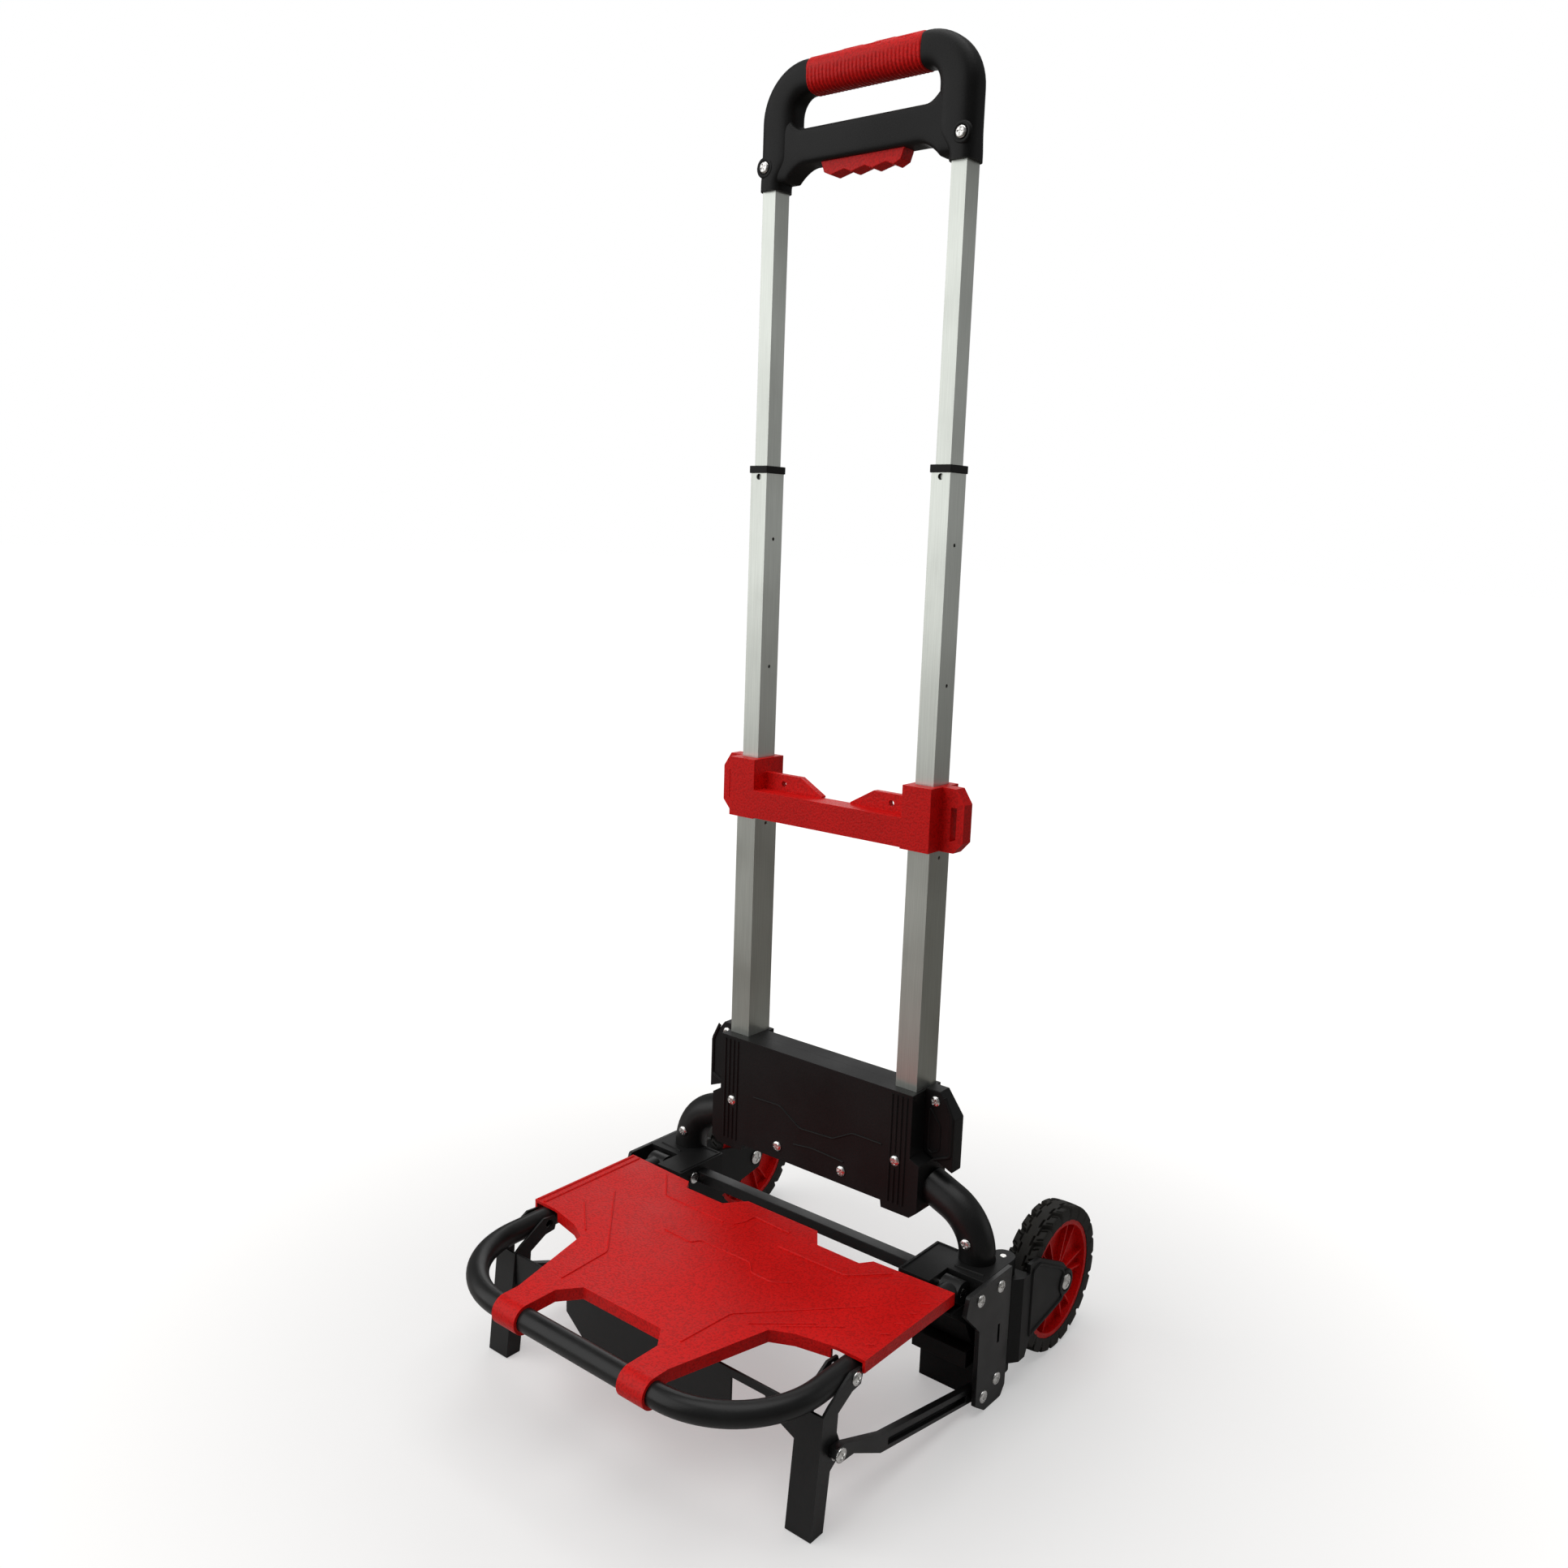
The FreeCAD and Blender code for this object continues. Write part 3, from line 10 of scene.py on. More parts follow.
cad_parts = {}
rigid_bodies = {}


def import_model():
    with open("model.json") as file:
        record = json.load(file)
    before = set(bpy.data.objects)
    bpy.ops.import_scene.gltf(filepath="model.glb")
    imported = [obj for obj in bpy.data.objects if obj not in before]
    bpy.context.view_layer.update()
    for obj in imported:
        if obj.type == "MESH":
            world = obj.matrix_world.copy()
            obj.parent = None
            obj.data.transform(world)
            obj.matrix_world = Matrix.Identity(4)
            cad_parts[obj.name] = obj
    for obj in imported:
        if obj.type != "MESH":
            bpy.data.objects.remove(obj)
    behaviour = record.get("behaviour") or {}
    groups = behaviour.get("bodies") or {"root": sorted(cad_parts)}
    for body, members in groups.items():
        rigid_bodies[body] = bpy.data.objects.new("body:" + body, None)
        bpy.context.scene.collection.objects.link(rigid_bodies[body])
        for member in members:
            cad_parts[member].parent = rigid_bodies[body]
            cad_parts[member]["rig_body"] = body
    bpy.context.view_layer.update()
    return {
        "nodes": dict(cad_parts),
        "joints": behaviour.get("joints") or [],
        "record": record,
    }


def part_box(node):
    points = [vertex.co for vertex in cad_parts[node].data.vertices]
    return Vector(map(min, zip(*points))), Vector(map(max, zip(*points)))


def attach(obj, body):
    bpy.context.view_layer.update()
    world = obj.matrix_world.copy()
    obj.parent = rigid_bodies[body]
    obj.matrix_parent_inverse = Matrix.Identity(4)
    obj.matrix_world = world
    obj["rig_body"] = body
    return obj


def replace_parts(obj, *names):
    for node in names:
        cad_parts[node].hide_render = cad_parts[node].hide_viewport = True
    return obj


bl_info = {
    "name": "Folding Hand Truck",
    "version": (1, 0, 0),
    "blender": (4, 5, 0),
    "location": "View3D > Sidebar > Hand Truck",
    "description": "Adds finishes, treads, screws and mouldings to a folding hand truck",
    "category": "Object",
}

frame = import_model()
JOINTS = {joint["name"]: joint for joint in frame["joints"]}
BODY_OF = {node: thing["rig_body"] for node, thing in frame["nodes"].items()}
MM = 0.001
FULL_TURN = 2 * math.pi
SIDES = (("left", -1), ("right", 1))
FINISHES = {}


# ---------------------------------------------------------------- sizes and colours

def length(name, description, default):
    """A size in metres that a user can change."""
    return bpy.props.FloatProperty(name=name, description=description, default=default,
                                   unit="LENGTH", precision=4)


def colour(name, description, default):
    """A surface colour that a user can change."""
    return bpy.props.FloatVectorProperty(name=name, description=description, default=default,
                                         size=3, min=0, max=1, subtype="COLOR")


class FinishSettings(bpy.types.PropertyGroup):
    """Colours and grain of the truck's finishes."""

    aluminium: colour("Aluminium", "Satin anodised tubes", (0.56, 0.585, 0.545))
    black_plastic: colour("Black plastic", "Moulded black parts", (0.010, 0.010, 0.010))
    red_plastic: colour("Red plastic", "Moulded red parts", (0.72, 0.006, 0.005))
    black_steel: colour("Black steel", "Powder coated steel", (0.008, 0.008, 0.008))
    zinc: colour("Zinc", "Plated screws and rivets", (0.80, 0.79, 0.77))
    rubber: colour("Rubber", "Tyres", (0.013, 0.012, 0.010))
    stipple: length("Stipple", "Spacing of the moulded grain", 0.0018)
    edge: length("Edge", "Rounding of the moulded and cut edges", 0.0007)


class TyreSettings(bpy.types.PropertyGroup):
    """Tread of the wheels."""

    blocks: bpy.props.IntProperty(name="Blocks", description="Tread blocks on each shoulder",
                                  default=22, min=8)
    depth: length("Depth", "Depth of the grooves", 0.0042)
    crown: length("Crown", "How far the tread drops towards its shoulders", 0.0012)


class LineSettings(bpy.types.PropertyGroup):
    """Raised lines moulded into the deck and the housing."""

    width: length("Width", "Width of a raised line", 0.0016)
    height: length("Height", "Height of a raised line", 0.0008)


class HandleSettings(bpy.types.PropertyGroup):
    """Handle moulding and grip."""

    corner: length("Corner", "Outer radius of the handle's corners", 0.044)
    bar: length("Top bar", "Thickness of the top bar", 0.026)
    opening: length("Opening", "Half the width of the hand opening", 0.068)
    rib: length("Rib depth", "Depth of the grip's ribs", 0.0006)
    rib_pitch: length("Rib pitch", "Spacing of the grip's ribs", 0.0036)


class ScrewSettings(bpy.types.PropertyGroup):
    """Cross-head screws and rivets."""

    slot: length("Slot", "Width of the cross recess", 0.0011)
    depth: length("Depth", "Depth of the cross recess", 0.0012)


# ---------------------------------------------------------------- finishes

class Finish:
    """A node material whose plain values are set on the shader's own sockets."""

    def __init__(self, name, tint, **values):
        self.material = bpy.data.materials.new(name)
        self.material.use_nodes = True
        self.tree = self.material.node_tree
        self.shader = self.tree.nodes["Principled BSDF"]
        self.shader.inputs["Base Color"].default_value = (*tint, 1)
        for socket, value in values.items():
            self.shader.inputs[socket.replace("_", " ")].default_value = value
        self.place = self.add("TexCoord").outputs["Object"]
        FINISHES[name] = self.material

    def add(self, kind, sockets=None, **settings):
        """Adds a node; a socket's value is either a number or another node's output."""
        node = self.tree.nodes.new("ShaderNode" + kind)
        for key, value in settings.items():
            setattr(node, key, value)
        for key, value in (sockets or {}).items():
            if isinstance(value, bpy.types.NodeSocket):
                self.tree.links.new(value, node.inputs[key])
            else:
                node.inputs[key].default_value = value
        return node

    def stretched(self, scale):
        """The piece's own place, scaled by axis."""
        return self.add("Mapping", {"Vector": self.place, "Scale": scale}).outputs["Vector"]

    def noise(self, scale, detail, place=None):
        """Even noise with grains about one over scale across."""
        return self.add("TexNoise", {"Vector": place or self.place, "Scale": scale, "Detail": detail,
                                     "Roughness": 0.55}).outputs["Fac"]

    def ramp(self, value, low, high, bottom, top):
        """Moves value from the range low to high into the range bottom to top, smoothly."""
        return self.add("MapRange", {"Value": value, "From Min": low, "From Max": high,
                                     "To Min": bottom, "To Max": top},
                        interpolation_type="SMOOTHSTEP").outputs["Result"]

    def mix(self, share, first, second):
        """Colour that goes from first to second as share goes from 0 to 1."""
        node = self.add("Mix", {"Factor": share}, data_type="RGBA")
        for socket, value in (("A_Color", first), ("B_Color", second)):
            target = next(i for i in node.inputs if i.identifier == socket)
            if isinstance(value, bpy.types.NodeSocket):
                self.tree.links.new(value, target)
            else:
                target.default_value = (*value, 1)
        return next(o for o in node.outputs if o.identifier == "Result_Color")

    def set(self, socket, value):
        """Links a value that varies over the surface to the shader."""
        self.tree.links.new(value, self.shader.inputs[socket])

    def bump(self, height, distance, strength):
        """Raises the surface's normal by height times distance, in metres."""
        sockets = {"Height": height, "Distance": distance, "Strength": strength}
        self.set("Normal", self.add("Bump", sockets).outputs["Normal"])

    def edge_wear(self, radius):
        """About 1 along an edge and 0 on a flat: how far a rounded normal leans from the true one."""
        soft = self.add("Bevel", {"Radius": radius}, samples=4).outputs["Normal"]
        true = self.add("NewGeometry").outputs["Normal"]
        dot = self.add("VectorMath", {0: soft, 1: true}, operation="DOT_PRODUCT").outputs["Value"]
        return self.ramp(dot, 0.99, 0.80, 0.0, 1.0)


def tinted(tint, factor):
    """The colour made lighter or darker by factor."""
    return tuple(min(1.0, channel * factor) for channel in tint)


def moulded(name, tint, grain, gloss, depth, spread, pit_shade):
    """Stippled moulding: a stipple of that depth, grain apart, with painted shade that darkens its hollows by
    the given share, blotches whose colour varies by spread, and paler edges."""
    finish = Finish(name, tint, Roughness=gloss, Specular_IOR_Level=0.18)
    stipple = finish.noise(1 / grain, 2.0)
    blotch = finish.noise(14.0, 4.0)
    shade = finish.ramp(blotch, 0.3, 0.7, 0.0, 1.0)
    body = finish.mix(shade, tinted(tint, 1 - spread), tinted(tint, 1 + spread))
    # painted shade: the stipple's hollows, where the bump sinks, are darkened towards half the tint
    pit_shade_colour = finish.mix(finish.ramp(stipple, 0.38, 0.54, pit_shade, 0.0), body, tinted(tint, 0.5))
    finish.set("Base Color", finish.mix(finish.edge_wear(0.0008), pit_shade_colour, tinted(tint, 1.5)))
    finish.set("Roughness", finish.ramp(blotch, 0.3, 0.7, gloss - 0.06, gloss + 0.06))
    finish.bump(stipple, depth, 0.8)


def anodised(name, tint):
    """Drawn tube: fine lines along its length under a satin anodised coat."""
    finish = Finish(name, tint, Metallic=0.85, Roughness=0.34, Specular_IOR_Level=0.5)
    lines = finish.noise(1.0, 3.0, finish.stretched((1800.0, 1800.0, 22.0)))
    haze = finish.noise(9.0, 4.0)
    shade = finish.ramp(lines, 0.3, 0.7, 0.0, 1.0)
    finish.set("Base Color", finish.mix(shade, tinted(tint, 0.93), tinted(tint, 1.05)))
    finish.set("Roughness", finish.ramp(haze, 0.3, 0.7, 0.29, 0.41))
    finish.bump(lines, 0.00002, 0.6)


def coated(name, tint):
    """Powder coat: a slight orange peel, with rubbed edges."""
    finish = Finish(name, tint, Roughness=0.36, Specular_IOR_Level=0.3, Coat_Weight=0.05,
                    Coat_Roughness=0.25)
    peel = finish.noise(950.0, 2.0)
    dust = finish.noise(22.0, 5.0)
    body = finish.mix(finish.ramp(dust, 0.35, 0.75, 0.0, 1.0), tinted(tint, 0.85), tinted(tint, 1.6))
    finish.set("Base Color", finish.mix(finish.edge_wear(0.0006), body, tinted(tint, 3.0)))
    finish.set("Roughness", finish.ramp(dust, 0.3, 0.7, 0.30, 0.44))
    finish.bump(peel, 0.00009, 0.7)


def plated(name, tint):
    """Bright zinc plate with a slightly uneven gloss."""
    finish = Finish(name, tint, Metallic=1.0, Roughness=0.22)
    cloud = finish.noise(700.0, 3.0)
    finish.set("Roughness", finish.ramp(cloud, 0.3, 0.7, 0.16, 0.32))
    finish.set("Base Color", finish.mix(cloud, tinted(tint, 0.9), tint))
    finish.bump(cloud, 0.00003, 0.5)


def vulcanised(name, tint):
    """Matt rubber with a dry bloom in its grain."""
    finish = Finish(name, tint, Roughness=0.72, Specular_IOR_Level=0.35)
    grain = finish.noise(1400.0, 3.0)
    bloom = finish.noise(30.0, 5.0)
    body = finish.mix(finish.ramp(bloom, 0.4, 0.75, 0.0, 1.0), tint, tinted(tint, 2.0))
    finish.set("Base Color", finish.mix(finish.edge_wear(0.0007), body, tinted(tint, 2.6)))
    finish.set("Roughness", finish.ramp(bloom, 0.3, 0.7, 0.62, 0.82))
    finish.bump(grain, 0.00008, 0.7)


def make_finishes(settings):
    """The record's material slots as finishes."""
    moulded("black_plastic", settings.black_plastic, settings.stipple * 0.6, 0.50, 0.00010, 0.25, 0.35)
    moulded("red_plastic", settings.red_plastic, settings.stipple, 0.46, 0.00040, 0.06, 0.5)
    anodised("aluminium", settings.aluminium)
    coated("black_steel", settings.black_steel)
    plated("zinc", settings.zinc)
    vulcanised("tyre", settings.rubber)


# ---------------------------------------------------------------- surfaces

def shell(points, ring=False):
    """Faces of a grid of closed rings: neighbours make quads, and ring joins the last one to the first."""
    rows, columns = points.shape[:2]
    row = np.arange(rows if ring else rows - 1)[:, None]
    column = np.arange(columns)[None, :]
    next_row, next_column = (row + 1) % rows, (column + 1) % columns
    corners = [row * columns + column, row * columns + next_column,
               next_row * columns + next_column, next_row * columns + column]
    faces = np.stack([np.broadcast_to(corner, (row.size, column.size)) for corner in corners], -1)
    return points.reshape(-1, 3), faces.reshape(-1, 4)


def capped(points):
    """Closes the two ends of a grid of rings by adding a ring shrunk to each end's middle."""
    first = np.broadcast_to(points[0].mean(0), points[0].shape)
    last = np.broadcast_to(points[-1].mean(0), points[-1].shape)
    return np.concatenate([first[None], points, last[None]])


def piece(name, shells, body, slot, angle=35):
    """Joins closed shells, in millimetres, into one object that rides on a body."""
    starts = np.cumsum([0] + [len(points) for points, faces in shells[:-1]])
    points = np.concatenate([points for points, faces in shells]) * MM
    faces = np.concatenate([faces + start for (grid, faces), start in zip(shells, starts)])
    mesh = bpy.data.meshes.new(name)
    mesh.from_pydata(points, [], faces)
    work = bmesh.new()
    work.from_mesh(mesh)
    bmesh.ops.remove_doubles(work, verts=work.verts, dist=1e-6)
    bmesh.ops.dissolve_degenerate(work, edges=work.edges, dist=1e-7)
    bmesh.ops.recalc_face_normals(work, faces=work.faces)
    work.to_mesh(mesh)
    work.free()
    mesh.shade_smooth()
    mesh.set_sharp_from_angle(angle=math.radians(angle))
    thing = bpy.data.objects.new(name, mesh)
    bpy.context.scene.collection.objects.link(thing)
    mesh.materials.append(FINISHES[slot])
    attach(thing, body)
    return thing


def cornered(path, reach=3.0):
    """Rounds each corner of a path: the corner becomes five points of a parabola that starts and ends at
    reach from it, or at the middle of a shorter side."""
    path = np.asarray(path, float)
    before, corner, after = path[:-2], path[1:-1], path[2:]
    back, ahead = before - corner, after - corner
    back *= np.minimum(reach / np.linalg.norm(back, axis=1), 0.5)[:, None]
    ahead *= np.minimum(reach / np.linalg.norm(ahead, axis=1), 0.5)[:, None]
    share = np.linspace(0, 1, 5)[None, :, None]
    bends = corner[:, None] + back[:, None] * (1 - share) ** 2 + ahead[:, None] * share ** 2
    return np.concatenate([path[:1], bends.reshape(-1, path.shape[1]), path[-1:]])


def carried(path, profile, up):
    """A closed profile carried along a path: its first number is measured across the path, square to up,
    and its second along up. At a corner the profile is widened so that the walls keep their thickness."""
    path, profile, up = (np.asarray(value, float) for value in (path, profile, up))
    step = np.diff(path, axis=0)
    step /= np.linalg.norm(step, axis=1)[:, None]
    ahead, behind = np.concatenate([step, step[-1:]]), np.concatenate([step[:1], step])
    mean = ahead + behind
    mean /= np.linalg.norm(mean, axis=1)[:, None]
    widen = 1 / np.clip((mean * ahead).sum(1), 0.5, 1)
    across = np.cross(mean, up) * widen[:, None]
    return shell(capped(path[:, None] + across[:, None] * profile[None, :, :1] + up * profile[None, :, 1:]))


def line_profile(width, height, sink=0.3):
    """Half-round ridge of that width and height whose foot is sunk into the surface."""
    turn = np.linspace(0, math.pi, 7)
    arch = np.stack([np.cos(turn) * width / 2, np.sin(turn) * height], 1)
    return np.concatenate([[[width / 2, -sink]], arch, [[-width / 2, -sink]]])


def ridge(path, axis, level, width, height, side=1, reach=3.0):
    """A half-round ridge along a flat path on the face that lies across an axis at a level: axis 0 is an
    outer side, 1 the front and 2 the top. Corners are rounded by reach, if any, and side -1 mirrors it."""
    flat = cornered(path, reach) if reach else np.asarray(path, float)
    places = np.insert(flat, axis, level, axis=1) * (side, 1, 1)
    return carried(places, line_profile(width, height), ((side, 0, 0), (0, -1, 0), (0, 0, 1))[axis])


def turned(points, centre, axis):
    """Stands points that were drawn round Z on another axis, at a centre."""
    axis = np.asarray(axis, float)
    side = np.cross(axis, [0.0, 0.0, 1.0]) if abs(axis[2]) < 0.9 else np.array([1.0, 0.0, 0.0])
    side /= np.linalg.norm(side)
    other = np.cross(axis, side)
    across, along, height = points[..., :1], points[..., 1:2], points[..., 2:]
    return np.asarray(centre, float) + across * side + along * other + height * axis


def turned_profile(profile, centre, axis, count=64):
    """Surface of revolution: each (radius, height) of a closed profile goes round an axis."""
    profile = np.asarray(profile, float)
    turn = np.linspace(0, FULL_TURN, count, endpoint=False)[:, None]
    points = np.stack([np.cos(turn) * profile[:, 0], np.sin(turn) * profile[:, 0],
                       np.broadcast_to(profile[:, 1], (count, len(profile)))], -1)
    return shell(turned(points, centre, axis), True)


# ---------------------------------------------------------------- screws

# Radii and rises of the heads, the radius of a pin's shank, and how far out an outer head's face lies
SCREW, RIVET, LINK_RIVET, AXLE = 4.6, 5.2, 5.6, 7.0
HEAD_RISE, AXLE_RISE = 2.2, 2.8
SHANK = 3.4
OUTER_FACE = 150


def cross_head(centre, axis, radius, height, settings, spin=0.4):
    """Domed head with a cross recess. Its height over a disc is an elliptical dome, less a cross-shaped pit
    whose walls slope and whose floor rises towards the ends of its arms."""
    rings, count = 26, 72
    ring = np.linspace(0, 1, rings)[:, None] ** 0.9
    turn = np.linspace(0, FULL_TURN, count, endpoint=False)[None, :]
    across, other = ring * np.cos(turn + spin) * radius, ring * np.sin(turn + spin) * radius
    edge = 0.25
    dome = height * (edge + (1 - edge) * np.sqrt(np.clip(1 - ring ** 2, 0, 1))) * np.ones_like(turn)
    half, depth = settings.slot / MM / 2, settings.depth / MM
    reach = radius * 0.58
    arm = np.minimum(np.maximum(np.abs(across) - half, np.abs(other) - reach),
                     np.maximum(np.abs(other) - half, np.abs(across) - reach))
    slope = 0.35
    pit = np.clip(0.5 - arm / slope, 0, 1)
    top = dome - pit * depth * (1 - 0.45 * np.hypot(across, other) / radius)
    upper = np.stack([ring * np.cos(turn) * radius, ring * np.sin(turn) * radius, top], -1)
    rim = upper[-1].copy()
    rim[:, 2] = 0.0
    neck = rim * 0.45
    end = neck + [0, 0, -1.5]
    points = np.concatenate([upper, rim[None], neck[None], end[None], end[None] * [0, 0, 1]])
    return shell(turned(points, centre, axis))


class TRUCK_OT_screws(bpy.types.Operator):
    """Screws, bolts and rivets with cross recesses, in place of the plain ones"""

    bl_idname = "truck.screws"
    bl_label = "Screws"

    def execute(self, context):
        settings = context.scene.truck_screws
        leg, hinge, link, axle = (tuple(place / MM for place in JOINTS[name]["pos_m"][1:]) for name in (
            "legs_fold", "platform_fold", "left_link_swing", "left_wheel_spin"))
        for node, places in (("housing_screws", [(89, 182), (35, 155)]), ("guard_screws", [(113, 235)]),
                             ("handle_screws", [(92.8, 975.2)]), ("arch_bolts", [(155.2, 129)])):
            self.front(node, places, settings)
        for node, places in (("plate_rivets", [hinge, (64.4, 102.1), (66.2, 20.6)]),
                             ("link_pivot_pins", [link]), ("leg_pivot_pins", [leg])):
            self.side(node, places, RIVET, HEAD_RISE, settings)
        for hand in ("left", "right"):
            self.side("link_rivet_" + hand, [(-136, 59)], LINK_RIVET, HEAD_RISE, settings)
            self.side("axle_" + hand, [axle], AXLE, AXLE_RISE, settings)
        return {"FINISHED"}

    def front(self, node, places, settings):
        """Heads that face forward, each turned by its own angle."""
        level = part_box(node)[0][1] / MM + HEAD_RISE
        heads = [cross_head((side * x, level, z), (0, -1, 0), SCREW, HEAD_RISE, settings, 0.3 * side + 0.1 * x)
                 for x, z in places for side in (-1, 1)]
        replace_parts(piece(node + "_cross", heads, BODY_OF[node], "zinc"), node)

    def side(self, node, places, radius, rise, settings):
        """Heads that face outwards on each side that the node has. A pin also has an inner head."""
        low, high = [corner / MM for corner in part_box(node)]
        shells = []
        for face, side in ((high[0], 1), (low[0], -1)):
            if side * face > OUTER_FACE:
                seat = face - side * rise
                shells += [cross_head((seat, y, z), (side, 0, 0), radius, rise, settings, 0.2 * y)
                           for y, z in places]
        if node.startswith(("axle", "link_rivet")):
            shells += self.inner_head(low, high, places[0], radius, settings)
        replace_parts(piece(node + "_cross", shells, BODY_OF[node], "zinc"), node)

    def inner_head(self, low, high, place, radius, settings):
        """The head at the pin's inner end, and the shank between its two heads."""
        side = 1 if high[0] > 0 else -1
        inner, outer = sorted((abs(low[0]), abs(high[0])))
        start, end = inner + 1.5, outer - 1.5
        shank = [(0, 0), (SHANK, 0), (SHANK, end - start), (0, end - start)]
        return [turned_profile(shank, (side * start, *place), (side, 0, 0), 32),
                cross_head((side * (inner + HEAD_RISE), *place), (-side, 0, 0), radius, HEAD_RISE, settings)]


# ---------------------------------------------------------------- tyres

class TRUCK_OT_tyres(bpy.types.Operator):
    """Tyres with chunky tread blocks that wrap round the shoulders"""

    bl_idname = "truck.tyres"
    bl_label = "Tyres"

    def execute(self, context):
        settings = context.scene.truck_tyres
        for hand, side in SIDES:
            centre = np.array(JOINTS[hand + "_wheel_spin"]["pos_m"]) / MM
            points = turned(tread(settings, side), centre, (1, 0, 0))
            tyre = piece("tread_" + hand, [shell(points, True)], hand + "_wheel", "tyre", 30)
            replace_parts(tyre, "tyre_" + hand)
        return {"FINISHED"}


def between(value, low, high, fade_in, fade_out):
    """1 from low to high, falling to 0 outside over each fade."""
    return np.clip((value - low) / fade_in, 0, 1) * np.clip((high - value) / fade_out, 0, 1)


def tread(settings, side):
    """The tyre's cross-section goes round the axle. Over the tread, the radius drops by the groove depth where
    a saw-tooth wave round the tyre, slanted towards each shoulder, is near its teeth, and by less where a
    finer wave makes the short cuts in each block. A zigzag groove parts the shoulders from the crown."""
    low, high = [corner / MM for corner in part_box("tyre_right")]
    rim_low, rim_high = [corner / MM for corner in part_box("rim_right")]
    half, radius, seat = (high[0] - low[0]) / 2, (high[2] - low[2]) / 2, (rim_high[2] - rim_low[2]) / 2
    along = np.linspace(-1, 1, 73)
    flat = np.abs(along)
    outer_x = half * np.sign(along) * np.clip(flat * 1.22, 0, 1) ** 0.92
    shoulder = 4.6 * np.clip((flat - 0.66) / 0.34, 0, 1) ** 2.2
    outer_r = radius - settings.crown / MM * flat ** 2 - shoulder
    wall = np.array([(half, radius - 6.8), (0.985 * half, seat + 3.4), (0.955 * half, seat + 1.6),
                     (0.955 * half, seat + 0.4), (0.9 * half, seat)])
    section_x = np.concatenate([outer_x, wall[:, 0], -wall[::-1, 0]])
    section_r = np.concatenate([outer_r, wall[:, 1], wall[::-1, 1]])
    reach = np.concatenate([flat, np.linspace(1.04, 1.3, len(wall)), np.linspace(1.3, 1.04, len(wall))])
    hand = np.concatenate([np.sign(along), np.ones(len(wall)), -np.ones(len(wall))])
    turn = np.linspace(0, FULL_TURN, settings.blocks * 36, endpoint=False)[:, None]
    wave = (turn * settings.blocks / FULL_TURN * side + 0.25 * hand + 0.42 * reach) % 1
    tooth = np.clip(1.5 - np.abs(wave - 0.5) / 0.10, 0, 1) * between(reach, 0.30, 1.20, 0.06, 0.07)
    zigzag = 0.30 + 0.07 * np.where(wave < 0.5, -1.0, 1.0)
    parting = 0.75 * np.clip(1.3 - np.abs(reach - zigzag) / 0.05, 0, 1)
    cut = 0.45 * np.clip(1.3 - np.abs((wave * 2) % 1 - 0.5) / 0.09, 0, 1)
    cut = cut * between(reach, 0.42, 0.80, 0.05, 0.05)
    groove = np.maximum(np.maximum(tooth, parting), cut)
    level = section_r - settings.depth / MM * groove
    inset = np.where(reach > 0.85, groove * 0.05, 0)
    return np.stack([np.cos(turn) * level, np.sin(turn) * level, section_x * (1 - inset)], -1)


# ---------------------------------------------------------------- raised lines

class TRUCK_OT_deck_lines(bpy.types.Operator):
    """Raised lines, side lips and ticks moulded on the deck"""

    bl_idname = "truck.deck_lines"
    bl_label = "Deck lines"

    def execute(self, context):
        settings = context.scene.truck_lines
        width, height, top = settings.width / MM, settings.height / MM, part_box("deck")[1][2] / MM
        paired = [[(123.5, 3), (97.5, -24.5), (30, -25.5)],
                  [(-135, -50), (-66, -125), (-63, -176)],
                  [(104, -113), (139, -82)]]
        single = [[(-21, -23), (-16, -14), (-15.6, -1), (23, -2.4)],
                  [(-57, -68), (-27, -69), (-23, -61), (29, -60), (40, -71), (62, -71), (73, -61)],
                  [(122, -92), (84, -126)]]
        ticks = [[(164, y), (169, y + 4)] for y in range(-90, 0, 18)]
        lines = [ridge(path, 2, top, width, height) for path in single + ticks]
        lines += [ridge(path, 2, top, width, height, side) for path in paired for side in (-1, 1)]
        piece("deck_lines", lines + self.lips(top), "platform", "red_plastic")
        return {"FINISHED"}

    def lips(self, top):
        """Two rounded beads along the deck's left edge."""
        turn = np.linspace(0, FULL_TURN, 11, endpoint=False)
        bead = np.column_stack([np.cos(turn) * 1.5, np.sin(turn) * 1.1 - 0.1])
        run = np.linspace(-104, 10, 9)
        return [carried([(-x, y, top) for y in run], bead, (0, 0, 1)) for x in (165.5, 172.6)]


class TRUCK_OT_housing_lines(bpy.types.Operator):
    """Raised lines on the housing's front and the ribs of its end columns"""

    bl_idname = "truck.housing_lines"
    bl_label = "Housing lines"

    def execute(self, context):
        settings = context.scene.truck_lines
        low, high = [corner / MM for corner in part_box("housing_front")]
        front, foot, head = low[1], low[2] + 8, high[2] - 3
        lines = [ridge(path, 1, front, settings.width / MM, settings.height / MM) for path in (
            [(-64, 192), (-34, 193), (-11, 179), (25, 181), (45, 192), (75, 192)],
            [(-17, 162.5), (3, 165), (37, 163.5)])]
        ribs = [(x, foot, head) for x in (83.5, 93.1, 97.9)] + [(88.3, foot, 175), (88.3, 189, head)]
        for x, start, end in ribs:
            path = [(x, z) for z in np.linspace(start, end, 5)]
            lines += [ridge(path, 1, front, 2.2, 1.0, side, 0) for side in (-1, 1)]
        piece("housing_lines", lines, "chassis", "black_plastic")
        return {"FINISHED"}


